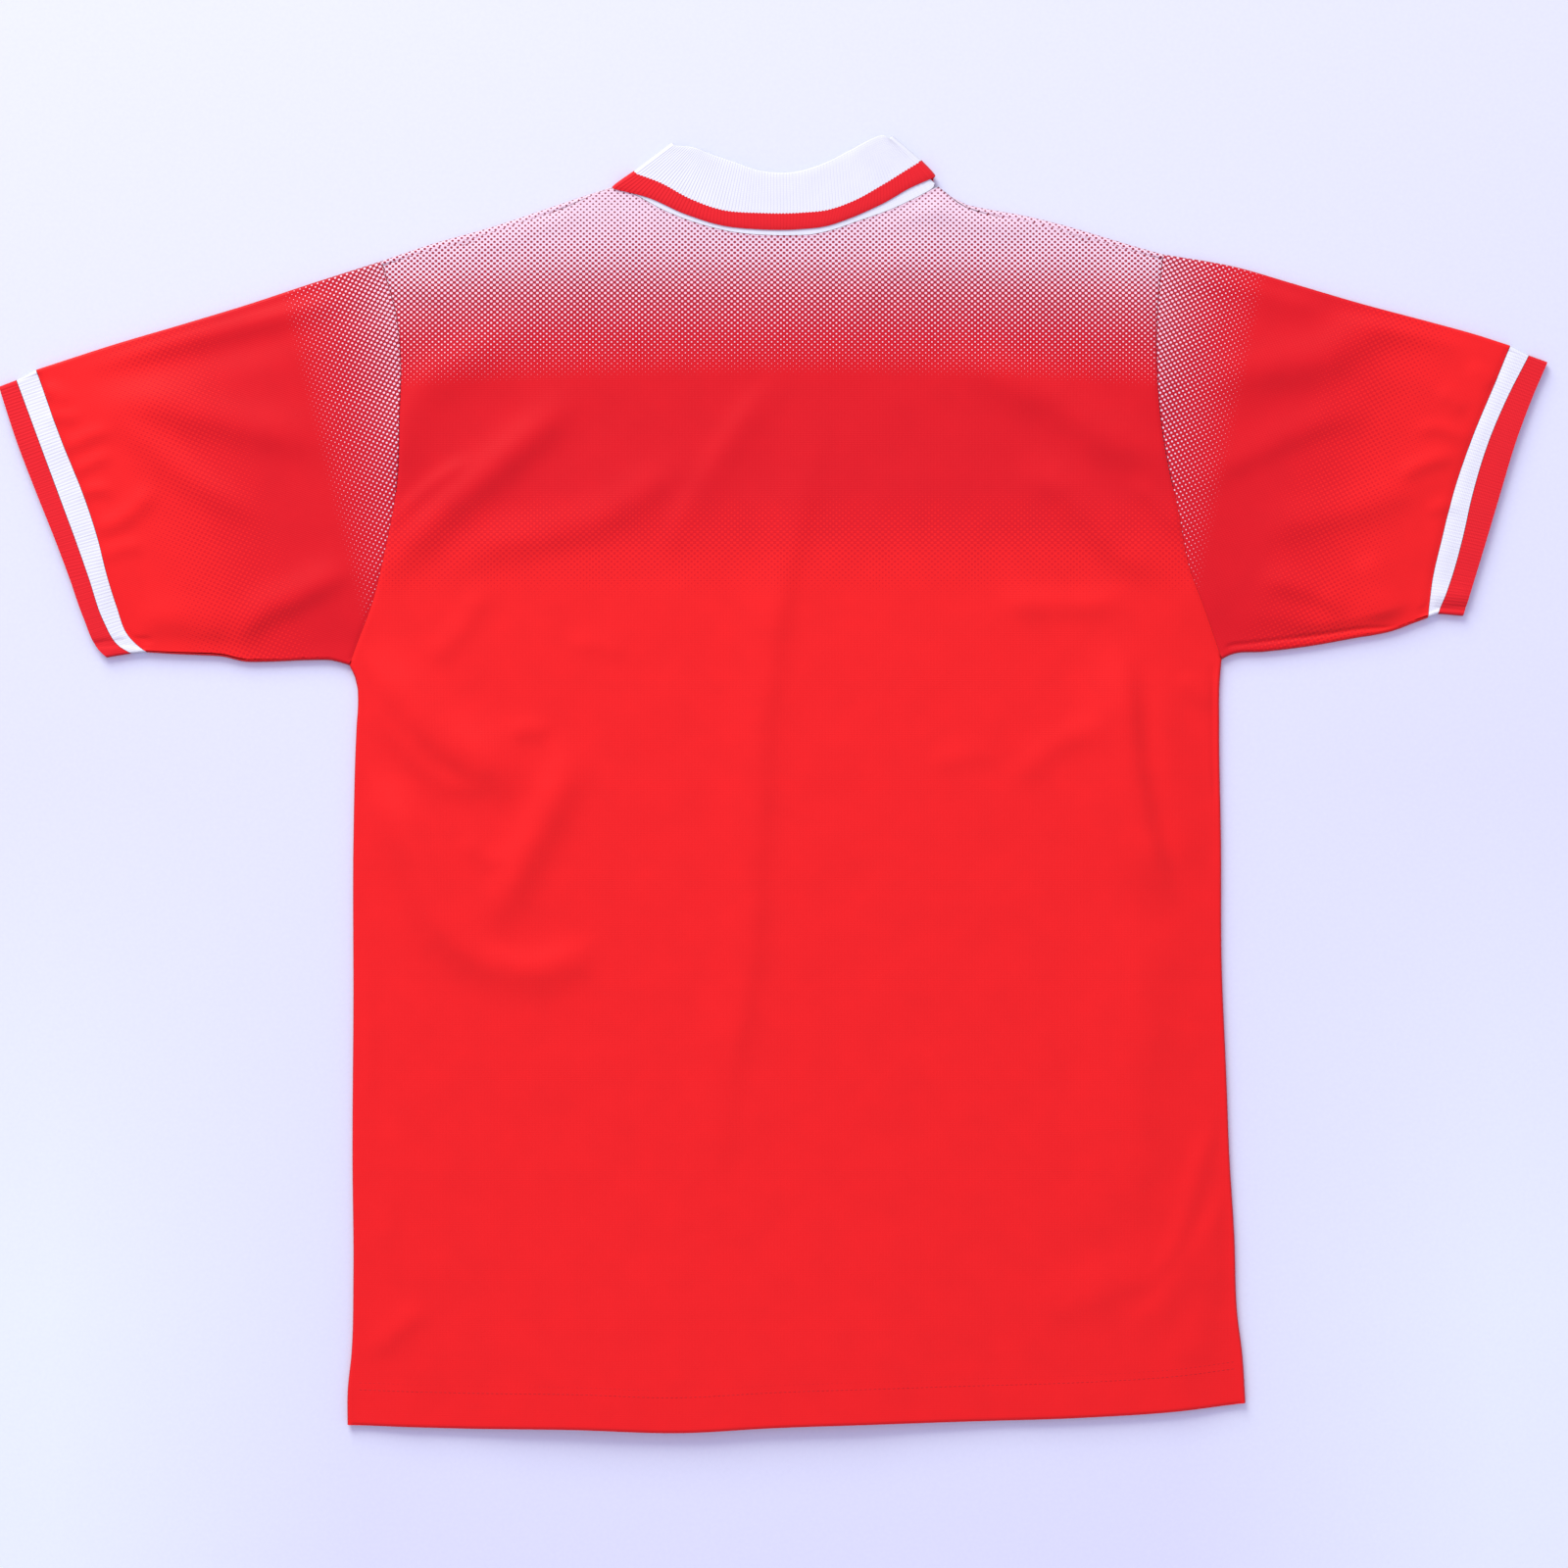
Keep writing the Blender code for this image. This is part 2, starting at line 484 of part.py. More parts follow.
# ------------------------------------------------------------------ sleeves and cuffs
def flat_tube(name, start, end, under, over, shares, wall, look):
    """A flattened tube between two curves that both run from the underside to the top fold."""
    def plan_point(s, v):
        corners = ((1 - s) * (1 - v) * start(0) + (1 - s) * v * start(1)
                   + s * (1 - v) * end(0) + s * v * end(1))
        return (1 - s) * start(v) + s * end(v) + (1 - v) * under(s) + v * over(s) - corners

    rings = []
    for s in shares:
        bottom, crown = plan_point(s, 0), plan_point(s, 1)
        ring = []
        inward = unit(plan_point(s, ARMHOLE_ROWS[0]) - bottom)
        for angle in FOLD_ANGLES:
            ring.append(round_fold(bottom, inward, FOLD_RADIUS * math.radians(angle)))
        for v in ARMHOLE_ROWS:
            ring.append(on_top(plan_point(s, v)))
        inward = unit(plan_point(s, ARMHOLE_ROWS[-1]) - crown)
        for angle in reversed(FOLD_ANGLES):
            ring.append(round_fold(crown, inward, FOLD_RADIUS * math.radians(angle)))
        for v in reversed(ARMHOLE_ROWS_UNDER):
            x, y = plan_point(s, v)
            ring.append((np.array([x, y, 0.0]), np.array([0, 0, -1.0])))
        rings.append(ring)
    outer = np.array([[p for p, n in ring] for ring in rings])
    normal = np.array([[n for p, n in ring] for ring in rings])
    return cloth(name, outer, outer - normal * wall, True, look)


def straight(start, end):
    return lambda s: start + (end - start) * s


# ------------------------------------------------------------------ the collar
def collar_stations():
    """The collar's sections in order, from one end at the centre front round to the other.

    Each has the plan points of its seam, leaf edge, stripe line and roll, the direction that its
    leaf lies in, and how far its roll stands up.
    """
    table = np.array(COLLAR_BACK)
    count = NECK_COLUMNS_FRONT // 2

    def back(f):
        edge_x, edge_y, stripe_x, stripe_y, roll_x, roll_y, lift = (
            np.interp(f, table[:, 0], table[:, k]) for k in range(1, 8))
        return np.array([edge_x, edge_y]), np.array([stripe_x, stripe_y]), \
            np.array([roll_x, roll_y]), lift

    def side_fold(f):
        edge, stripe, roll, lift = back(f)
        along = unit(roll - edge)
        outward = np.array([-along[1], along[0]]) * (1 if f == 0 else -1)
        reach = COLLAR_INNER + COLLAR_WALL
        base = neckline_back(f) + along * COLLAR_FOLD_SHIFT - outward * reach
        return base, edge, stripe, roll, outward, lift

    def front(f, hand):
        """f runs from the neck point, 0, to the centre front, 1."""
        fraction = f / 2 if hand == "left" else 1 - f / 2
        seam = neckline_front(fraction)
        ahead = neckline_front(min(fraction + 0.01, 1)) - neckline_front(max(fraction - 0.01, 0))
        across = unit(np.array([-ahead[1], ahead[0]]))
        fold_roll = side_fold(0 if hand == "left" else 1)[3]
        upward = unit(fold_roll - neckline_back(0 if hand == "left" else 1))
        turned = smooth(f / FRONT_TURN)
        lean = unit(across * turned + upward * (1 - turned))
        edge, stripe, roll = (np.interp(f, *zip(*((row[0], row[k]) for row in COLLAR_FRONT)))
                              for k in (1, 2, 3))
        if f == 1:
            seam = seam + np.array([-COLLAR_END_GAP if hand == "left" else COLLAR_END_GAP, 0])
        return seam, seam + lean * edge, seam + lean * stripe, seam + lean * roll

    down, over = np.array([0, 0, -1.0]), np.array([0, 0, 1.0])
    stations = []
    for k in range(count, 0, -1):
        stations.append((*front(k / count, "left"), down, 0.0))
    for f, angles in ((0, FOLD_ANGLES), (1, FOLD_ANGLES[::-1])):
        base, edge, stripe, roll, outward, lift = side_fold(f)
        fold = []
        for angle in angles:
            turn = math.radians(angle)
            facing = np.array([outward[0] * math.cos(turn), outward[1] * math.cos(turn),
                               math.sin(turn)])
            fold.append((base, edge, stripe, roll, facing, lift * (1 + math.sin(turn)) / 2))
        if f == 0:
            stations += fold
            for k in range(1, NECK_COLUMNS):
                share = k / NECK_COLUMNS
                stations.append((neckline_back(share), *back(share)[:3], over, back(share)[3]))
        else:
            stations += fold
    for k in range(1, count + 1):
        stations.append((*front(k / count, "right"), down, 0.0))
    return stations


def collar_sections():
    """For each station the closed sections of the white collar and of its stripe."""
    half = COLLAR_WALL / 2
    stand_level = COLLAR_INNER + half
    leaf_level = stand_level + COLLAR_WALL + SEAM_GAP
    white, stripe_band = [], []
    for seam, edge, stripe, roll, facing, lift in collar_stations():
        along = unit(roll - seam)
        stand_up = ROLL_SHARE * lift
        turn_radius = (leaf_level + lift - stand_level - stand_up) / 2
        turn_middle = (leaf_level + lift + stand_level + stand_up) / 2
        turn_centre = roll - along * (turn_radius + half)
        start = seam + along * SEAM_GAP / 2

        def place(plan, level):
            return np.array([plan[0], plan[1], COLLAR_MIDDLE]) + facing * level

        def leaf(share):
            """From the roll, 0, to the stripe's line, 1: its plan point and its level."""
            plan = turn_centre + (stripe - turn_centre) * share
            return plan, leaf_level + lift * (1 - (1 - ROLL_SHARE) * share)

        outside, inside = [], []
        for share in STAND_PLACES:
            plan = start + (turn_centre - start) * share
            level = stand_level + stand_up * smooth(share)
            outside.append(place(plan, level - half))
            inside.append(place(plan, level + half))
        for angle in ROLL_ANGLES:
            turn = math.radians(angle)
            for radius, side_points in ((turn_radius + half, outside), (turn_radius - half, inside)):
                plan = turn_centre + along * radius * math.cos(turn)
                side_points.append(place(plan, turn_middle + radius * math.sin(turn)))
        for share in LEAF_PLACES:
            plan, level = leaf(share)
            outside.append(place(plan, level + half))
            inside.append(place(plan, level - half))
        white.append(outside + inside[::-1])

        inner_line = stripe + unit(edge - stripe) * SEAM_GAP
        outside, inside = [], []
        for share in STRIPE_PLACES:
            plan = inner_line + (edge - inner_line) * share
            level = leaf_level + lift * ROLL_SHARE * (1 - share)
            outside.append(place(plan, level + half))
            inside.append(place(plan, level - half))
        stripe_band.append(outside + inside[::-1])
    return np.array(white), np.array(stripe_band)


def swept(name, sections, look):
    """A solid through closed sections, with its two ends capped."""
    mesh = bmesh.new()
    rings = [[mesh.verts.new(point * MM) for point in section] for section in sections]
    count = len(sections[0])
    for first, second in zip(rings, rings[1:]):
        for j in range(count):
            k = (j + 1) % count
            mesh.faces.new((first[j], first[k], second[k], second[j]))
    for ring in (rings[0], rings[-1]):
        for j in range(count // 2 - 1):
            mesh.faces.new((ring[j], ring[j + 1], ring[count - 2 - j], ring[count - 1 - j]))
    bmesh.ops.recalc_face_normals(mesh, faces=mesh.faces)
    data = bpy.data.meshes.new(name)
    mesh.to_mesh(data)
    mesh.free()
    data.shade_smooth()
    data.set_sharp_from_angle(angle=math.radians(SHARP_ANGLE))
    data.materials.append(look)
    made = bpy.data.objects.new(name, data)
    bpy.context.collection.objects.link(made)
    return made


def place_on_origin(pieces):
    """Moves the pieces so that the middle of their box's underside is the origin."""
    points = np.array([v.co[:] for piece in pieces for v in piece.data.vertices])
    middle = (points.min(axis=0) + points.max(axis=0)) / 2
    for piece in pieces:
        for vertex in piece.data.vertices:
            vertex.co.x -= middle[0]
            vertex.co.y -= middle[1]


for old in list(bpy.data.objects):
    bpy.data.objects.remove(old)

red = material("red_polyester", (0.82, 0.03, 0.04), 0.55)
white_knit = material("white_knit", (0.86, 0.86, 0.92), 0.75)
red_knit = material("red_knit", (0.78, 0.02, 0.03), 0.75)

pieces = [
    panel("front", False, neckline_front, SIDE_ROWS_FRONT, ARMHOLE_ROWS_UNDER, NECK_COLUMNS_FRONT,
          red),
    panel("back", True, neckline_back, SIDE_ROWS, ARMHOLE_ROWS, NECK_COLUMNS, red),
]
for hand in ("left", "right"):
    length = np.linalg.norm(cuff_seam[hand](0.5) - armhole[hand](0.5))
    shares = np.linspace(SEAM_GAP / length, 1 - SEAM_GAP / 2 / length, SLEEVE_RINGS)
    pieces.append(flat_tube("sleeve_" + hand, armhole[hand], cuff_seam[hand], sleeve_under[hand],
                            sleeve_top[hand], shares, WALL, red))
    for name, start, end, look in (
            ("cuff_" + hand, cuff_seam[hand], cuff_stripe[hand], white_knit),
            ("cuff_tipping_" + hand, cuff_stripe[hand], cuff_edge[hand], red_knit)):
        width = np.linalg.norm(end(0.5) - start(0.5))
        shares = (SEAM_GAP / 2 / width, 0.5, 1 - SEAM_GAP / 2 / width)
        pieces.append(flat_tube(name, start, end, straight(start(0), end(0)),
                                straight(start(1), end(1)), shares, RIB_WALL, look))
white_sections, stripe_sections = collar_sections()
pieces.append(swept("collar", white_sections, white_knit))
pieces.append(swept("collar_tipping", stripe_sections, red_knit))
place_on_origin(pieces)
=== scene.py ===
import math

import bmesh
import bpy
import numpy as np
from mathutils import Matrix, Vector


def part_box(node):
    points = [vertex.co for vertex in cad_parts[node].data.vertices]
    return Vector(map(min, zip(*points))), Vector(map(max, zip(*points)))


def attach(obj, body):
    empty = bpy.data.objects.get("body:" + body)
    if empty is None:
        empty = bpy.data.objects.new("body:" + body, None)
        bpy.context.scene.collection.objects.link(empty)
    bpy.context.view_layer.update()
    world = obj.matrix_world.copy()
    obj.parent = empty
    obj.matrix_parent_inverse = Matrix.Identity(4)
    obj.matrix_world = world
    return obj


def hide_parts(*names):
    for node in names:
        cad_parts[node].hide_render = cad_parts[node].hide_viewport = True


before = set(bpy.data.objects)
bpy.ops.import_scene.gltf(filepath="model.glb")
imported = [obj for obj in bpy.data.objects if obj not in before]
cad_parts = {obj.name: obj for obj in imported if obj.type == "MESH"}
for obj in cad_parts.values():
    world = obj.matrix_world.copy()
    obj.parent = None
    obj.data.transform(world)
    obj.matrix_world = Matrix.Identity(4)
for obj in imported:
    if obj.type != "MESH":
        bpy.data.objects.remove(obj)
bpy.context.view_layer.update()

# ======== printed polyester
# A fine knitted polyester, coloured through by transfer printing: bright red, with rows of small
# dots that first make it a darker red and then fade it to white over the shoulders.
MM = 0.001
DOT_PITCH = 3.92 * MM  # from dot to dot along a row
ROW_PITCH = 3.45 * MM  # from row to row, with a shifted row between them
INK_SOFTNESS = 0.05  # how much of the print's tone a dot's edge takes to fade
WALE_PITCH = 0.9 * MM
MOTTLE, KNIT_TONE = 0.10, 0.02  # how uneven the cloth and its loops make the colour
PAINTED_EDGE_SHADE = 0.7  # how much painted shade darkens the knit where its surface tilts round an edge
BRIGHT_RED = (1.0, 0.0115, 0.0128)
DARK_RED = (0.82, 0.005, 0.0128)
DOT_RED = (0.25, 0.008, 0.038)
WHITE_CLOTH = (1.0, 0.72, 0.80)


def connect(tree, socket, value):
    """Sets a socket to a value, or links another node's output to it."""
    if isinstance(value, bpy.types.NodeSocket):
        tree.links.new(value, socket)
    else:
        socket.default_value = (*value, 1.0) if socket.type == "RGBA" else value


def feed(tree, made, *values, **inputs):
    """Connects a node's inputs, given by place or by name, and returns its outputs."""
    for socket, value in zip(made.inputs, values):
        connect(tree, socket, value)
    for name, value in inputs.items():
        connect(tree, made.inputs[name.replace("_", " ")], value)
    return made.outputs


def node(tree, kind, settings, *values, **inputs):
    made = tree.nodes.new(kind)
    for name, value in settings.items():
        setattr(made, name, value)
    return feed(tree, made, *values, **inputs)


def maths(tree, operation, *values, clamp=False):
    return node(tree, "ShaderNodeMath", {"operation": operation, "use_clamp": clamp}, *values)[0]


def toned(tree, colour, shade):
    return node(tree, "ShaderNodeVectorMath", {"operation": "SCALE"}, colour, Scale=shade)[0]


def grouped(tree, inner, *values):
    return node(tree, "ShaderNodeGroup", {"node_tree": inner}, *values)[0]


def mixed(tree, factor, first, second):
    made = tree.nodes.new("ShaderNodeMix")
    made.data_type = "RGBA"
    for place, value in ((0, factor), (6, first), (7, second)):
        connect(tree, made.inputs[place], value)
    return made.outputs[2]


def group(name, output, *inputs):
    """A new shader group of numbers: its tree and its inputs."""
    tree = bpy.data.node_groups.new(name, "ShaderNodeTree")
    for label, way in ((output, "OUTPUT"), *((label, "INPUT") for label in inputs)):
        tree.interface.new_socket(label, in_out=way, socket_type="NodeSocketFloat")
    return tree, node(tree, "NodeGroupInput", {})[:len(inputs)]


def new_look(name):
    """A new material with its tree and its shader."""
    made = bpy.data.materials.new(name)
    made.use_nodes = True
    return made, made.node_tree, made.node_tree.nodes["Principled BSDF"]


# Dots of ink on a grid that stands on its corner: they shrink as Bare rises from 0 to 1.
ink_dots, (along, across, bare, softness) = group("ink_dots", "Ink", "Along", "Across", "Bare", "Softness")
turns = [maths(ink_dots, "DIVIDE", place, pitch)
         for place, pitch in ((along, DOT_PITCH), (across, ROW_PITCH))]
waves = [maths(ink_dots, "COSINE", maths(ink_dots, "MULTIPLY", maths(ink_dots, way, *turns), math.tau))
         for way in ("ADD", "SUBTRACT")]
lattice = maths(ink_dots, "MULTIPLY_ADD", maths(ink_dots, "ADD", *waves), 0.25, 0.5)
over = maths(ink_dots, "DIVIDE", maths(ink_dots, "SUBTRACT", lattice, bare), softness)
node(ink_dots, "NodeGroupOutput", {}, maths(ink_dots, "ADD", over, 0.5, clamp=True))

# The knit's fine relief: upright wales with courses across them.
fine_knit, (along, across, wale) = group("fine_knit", "Height", "Along", "Across", "Wale")
wales, courses = (
    maths(fine_knit, "SINE", maths(fine_knit, "MULTIPLY", maths(fine_knit, "DIVIDE", place, wale), turns))
    for place, turns in ((along, math.tau), (across, 0.8 * math.tau)))
courses = maths(fine_knit, "MULTIPLY", courses, 0.4)
node(fine_knit, "NodeGroupOutput", {}, maths(fine_knit, "MULTIPLY_ADD", wales, 0.6, courses))


def cloth_look(name, colour_of, loop_pitch, bump_depth, roughness, sheen):
    """A knitted cloth, with painted shade where it turns round an edge; colour_of gives its colour from the
    place in the piece's own plane.
    """
    made, tree, shader = new_look(name)
    place = node(tree, "ShaderNodeUVMap", {"uv_map": "print"})[0]
    along, across, _ = node(tree, "ShaderNodeSeparateXYZ", {}, place)
    knit = grouped(tree, fine_knit, along, across, loop_pitch)
    mottle = node(tree, "ShaderNodeTexNoise", {}, Vector=place, Scale=60.0, Detail=4.0)[0]
    shade = maths(tree, "MULTIPLY_ADD", knit, KNIT_TONE, 1 - MOTTLE / 2)
    shade = maths(tree, "MULTIPLY_ADD", mottle, MOTTLE, shade)
    # Painted shade: the colour darkens where the surface tilts away from level, along every edge, fold and
    # roll.
    upward = node(tree, "ShaderNodeSeparateXYZ", {}, node(tree, "ShaderNodeNewGeometry", {})["Normal"])[2]
    painted_edge_shade = maths(tree, "MULTIPLY_ADD", maths(tree, "ABSOLUTE", upward), PAINTED_EDGE_SHADE, 1 - PAINTED_EDGE_SHADE)
    colour = toned(tree, colour_of(tree, along, across), maths(tree, "MULTIPLY", shade, painted_edge_shade))
    rough = maths(tree, "MULTIPLY_ADD", mottle, 0.14, roughness - 0.07)
    bump = node(tree, "ShaderNodeBump", {}, Strength=0.3, Distance=bump_depth, Height=knit)[0]
    feed(tree, shader, Base_Color=colour, Roughness=rough, Normal=bump, Sheen_Weight=sheen,
         Sheen_Roughness=0.4, Specular_IOR_Level=0.2)
    return made


def printed_polyester(name, bare_of, red_axis, red_start, red_end):
    """The printed cloth: how bare of ink its white fade is, and where its red fade lies."""
    def colour_of(tree, *place):
        bare = bare_of(tree, *place)
        depth = maths(tree, "SUBTRACT", place[red_axis], red_start)
        red = maths(tree, "MULTIPLY_ADD", depth, 1.2 / (red_end - red_start), -0.1)
        first, second = (grouped(tree, ink_dots, *place, level, INK_SOFTNESS) for level in (bare, red))
        reds = mixed(tree, second, BRIGHT_RED, DARK_RED)
        dot = mixed(tree, maths(tree, "MULTIPLY", bare, 1.3, clamp=True), reds, DOT_RED)
        return mixed(tree, first, WHITE_CLOTH, dot)
    return cloth_look(name, colour_of, WALE_PITCH, 0.15 * MM, 0.53, 0.08)


# ======== back panel
# One piece of the printed cloth, cut with a high neck.  It lies on the front panel, sewn to it at
# the sides and shoulders, and holds the folds in which the jersey was laid down.
# The panel is laid out in millimetres, x from the jersey's centre line and y up from its hem.
# The front solid's box gives that zero in the frame: its left edge and the lowest point of its hem.
FRONT_LEFT_EDGE, HEM_LOWEST = -278.1, -1.9
front_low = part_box("front")[0]
ZERO = np.array([front_low[0] / MM - FRONT_LEFT_EDGE, front_low[1] / MM - HEM_LOWEST, 0.0])
HANDS = ("left", "right")
WALL, HEM_WALL = 1.0, 1.6
HEM_HEIGHT = 28.0
HALF_GAP = 0.15  # half the gap between two pieces at a seam
FOLD_RADIUS = 2.0  # the cloth's outer radius where it turns round an edge
FOLD_ARC = math.pi * FOLD_RADIUS / 2  # from a fold's outermost point to the flat
LOFT, LOFT_REACH = 5.8, 45.0  # how high the upper layer lies, and how far in from an edge
LOWEST_TOP = 3.4
FOLD_REACH = 12.0  # how far in from an edge a crease has its full height
SOFT_WAVE_HEIGHT = 0.05
# Columns: length of a soft wave in the cloth, its direction in degrees, its phase.
SOFT_WAVES = ((83, 20, 0.4), (61, 75, 2.1), (47, 130, 4.0), (71, 160, 5.2), (38, 48, 1.3), (53, 102, 3.1))


def hermite(t, start, leaving, end, arriving):
    """A smooth run from start to end, with its slopes there."""
    return ((2 * t**3 - 3 * t**2 + 1) * start + (t**3 - 2 * t**2 + t) * leaving
            + (3 * t**2 - 2 * t**3) * end + (t**3 - t**2) * arriving)


def shares_of(line):
    """How far along a line of points each of them lies, from 0 to 1."""
    along = np.concatenate([[0], np.cumsum(np.linalg.norm(np.diff(line, axis=0), axis=1))])
    return along / along[-1]


def path(points):
    """A smooth curve through points, x, y, x, y, as a function of the fraction of its length."""
    knots = np.array(points, dtype=float).reshape(-1, 2)
    chord = np.diff(knots, axis=0)
    length = np.linalg.norm(chord, axis=1)[:, None]
    slope = chord / length
    inner = (slope[:-1] * length[1:] + slope[1:] * length[:-1]) / (length[1:] + length[:-1])
    tangent = np.vstack([slope[:1], inner, slope[-1:]])
    t = np.linspace(0, 1, 12, endpoint=False)[:, None]
    runs = [hermite(t, knots[k], length[k] * tangent[k], knots[k + 1], length[k] * tangent[k + 1])
            for k in range(len(chord))]
    curve = np.vstack(runs + [knots[-1:]])
    along = shares_of(curve)
    return lambda fraction: np.stack([np.interp(fraction, along, curve[:, k]) for k in (0, 1)], axis=-1)


def both(left, right):
    return {"left": path(left), "right": path(right)}


def line_of(curve, count):
    return curve(np.linspace(0, 1, count))


def smooth(t):
    t = np.clip(t, 0, 1)
    return t * t * (3 - 2 * t)


def unit(vectors):
    return vectors / np.linalg.norm(vectors, axis=-1, keepdims=True)


# Outlines: x, y of their points, on the left hand and on the right.
SIDE = both(
    (-278.1, 2.5, -278.1, 23, -275.6, 48, -274.4, 98, -275, 173, -274.4, 273, -274.4, 373, -272.3, 448,
     -271.4, 463, -272.4, 476, -276.9, 486.3),
    (294.0, 16.5, 291.9, 48, 288.8, 73, 286.9, 123, 283.8, 173, 281.9, 223, 278.8, 298, 278.4, 373,
     277.3, 448, 277.6, 476, 278.8, 490))
ARMHOLE = both(
    (-276.9, 486.3, -271.3, 501.3, -262.5, 524.4, -253.1, 562.5, -246.3, 601.3, -244.4, 648.8,
     -243.8, 677.5, -246, 705, -256.3, 743.8),
    (278.8, 490, 268.1, 520.6, 258.1, 547.5, 250.6, 585.6, 243.1, 620, 238.1, 658.1, 236.9, 686.9,
     237.5, 710, 241.3, 748.1))
SHOULDER = both(
    (-256.3, 743.8, -225, 754.4, -187.5, 765, -150, 777.5, -131.3, 783.8, -107.5, 791.5),
    (98.1, 791.3, 113.1, 780.8, 129.4, 776.9, 151.3, 773.1, 176.9, 766.9, 202.5, 759.4, 227.5, 751.9,
     241.3, 748.1))
HEM = path((-278.1, 2.5, -206.3, 0.6, -131.3, 0, -68.8, -1.9, -6.3, 1.3, 93.8, 4.4, 193.8, 7.5,
            243.8, 10.6, 294.0, 16.5))
NECK_BACK = path((-107.5, 791.5, -96, 786.3, -76, 775.6, -52, 766.6, -30, 761.6, -11, 760, 5, 759.8,
                  17.5, 760.4, 29, 762.8, 49, 769.6, 66.6, 775.8, 84, 783.8, 98.1, 791.3))
SIDE_SEAM_RIGHT = path((273.5, 484, 273.4, 448, 274.6, 410, 278, 386))
# The shoulder seam lies on the back, inside the shoulder's fold.
# Columns: place from the armhole to the neck, distance from the fold.
SHOULDER_SEAM = ((0, 3.0), (0.35, 6.5), (0.6, 5.0), (0.8, 3.0), (0.92, 1.0), (1, 0.8))
SEEN_SEAM = 2.4  # its distance from the fold beyond which it's seen from above

# Columns: height of the crest, half width on its steep side, half width on its gentle side, then
# x, y of points of the crest.  The steep side is on the right hand of one who walks along it.
BODY_FOLDS = (
    # below the left armhole
    (3.6, 14, 20, -275, 500, -255, 478, -238, 458, -222, 441, -200, 428, -178, 411, -160, 398),
    (1.3, 8, 5, -266, 474, -250, 445, -232, 424, -212, 410, -186, 404),
    (3.2, 13, 13, -190, 308, -177, 340, -164, 366, -150, 392, -142, 418, -146, 446),
    (0.9, 6, 7, -176, 438, -162, 446, -148, 440),
    (3.6, 15, 14, -262, 424, -245, 388, -234, 360, -223, 334, -207, 312, -190, 300),
    (2.4, 13, 12, -225, 330, -207, 309, -188, 297, -162, 293, -136, 299, -112, 312),
    (0.7, 6, 8, -205, 380, -188, 362, -172, 362),
    # from the left armhole
    (1.9, 16, 12, -248, 580, -245, 615, -239, 645, -224, 668, -198, 684, -160, 704),
    (1.0, 5, 5, -252, 572, -232, 594, -213, 609, -195, 620),
    (2.9, 12, 13, -262, 528, -238, 560, -218, 582, -195, 602, -172, 622, -150, 641, -122, 662),
    (1.9, 11, 15, -226, 545, -190, 560, -150, 569, -120, 577, -97, 590, -76, 606, -45, 620),
    (1.2, 12, 8, -80, 545, -60, 588, -42, 618, -22, 648, 4, 680),
    (1.0, 8, 9, -232, 488, -212, 501, -199, 519, -192, 542),
    (0.6, 5, 8, -140, 497, -120, 499, -98, 490),
    (1.0, 8, 8, -252, 727, -232, 726, -205, 722),
    # down the middle
    (1.8, 9, 18, -52, 110, -44, 170, -35, 225, -25, 280, -20, 340, -17, 400, -14, 450, -8, 500,
     0, 545, 10, 580, 18, 622, 26, 680),
    # from the right armhole
    (2.6, 14, 15, 98, 690, 130, 674, 155, 661, 175, 652, 195, 637, 214, 625, 234, 618, 256, 612),
    (2.0, 15, 10, 206, 752, 222, 716, 232, 690, 239, 662, 246, 630),
    (2.2, 11, 15, 142, 609, 174, 600, 190, 585, 202, 571, 216, 557, 232, 550, 256, 545),
    (1.0, 6, 6, 218, 606, 238, 588, 254, 566),
    (1.3, 9, 10, 128, 523, 166, 525, 198, 525, 226, 534),
    (1.0, 6, 7, 250, 480, 262, 471, 276, 458),
    # down the right side
    (4.0, 9, 24, 244, 318, 236, 352, 226, 392, 220, 428, 217, 462, 214, 490, 211, 512),
    (1.6, 6, 14, 238, 495, 240, 460, 245, 420, 252, 385, 262, 345),
    (2.4, 16, 28, 230, 96, 222, 150, 223, 200, 227, 250, 226, 300, 224, 350),
    (1.2, 9, 9, 146, 408, 166, 431, 186, 442, 212, 449),
    (0.6, 6, 8, 88, 424, 112, 427, 138, 428),
    (1.3, 7, 6, 224, 78, 246, 112, 257, 142, 266, 174, 282, 212),
    (1.4, 13, 7, 210, 58, 242, 84, 257, 106, 273, 132, 294, 168),
    (1.2, 12, 16, 158, 74, 195, 86, 222, 98, 244, 118),
    (1.0, 12, 12, 254, 22, 262, 58, 270, 92, 280, 132),
    # the left side and hem
    (0.9, 6, 7, -267, 190, -266, 250, -267, 310),
    (1.3, 7, 9, -264, 44, -246, 64, -226, 78),
    (0.7, 9, 9, -256, 90, -252, 140, -248, 205),
    # beside the collar
    (1.6, 9, 6, 24, 765, 54, 774, 84, 778, 110, 778, 136, 773, 168, 765),
    (1.1, 9, 6, -216, 748, -180, 763, -150, 772, -118, 777),
    (0.6, 10, 10, 38, 690, 48, 714, 66, 738, 96, 748),
    # the hem's middle, where the two layers lie further apart
    (3.0, 110, 110, -230, 0, -150, 0, -60, 0, 30, 2, 140, 5),
)


def fold_lines(table):
    return [(height, steep, gentle, line_of(path(points), 14)) for height, steep, gentle, *points in table]


# The upper layer's shape; the sections below add what the sleeves and cuffs bring to it.  The hem
# isn't one of its edges, because the two layers lie a little apart there.
edges = [line_of(NECK_BACK, 30)]
edges += [line_of(curves[hand], 40) for curves in (SIDE, SHOULDER) for hand in HANDS]
low_seams = []  # columns: how high the layer lies there, line of the seam
folds = fold_lines(BODY_FOLDS)
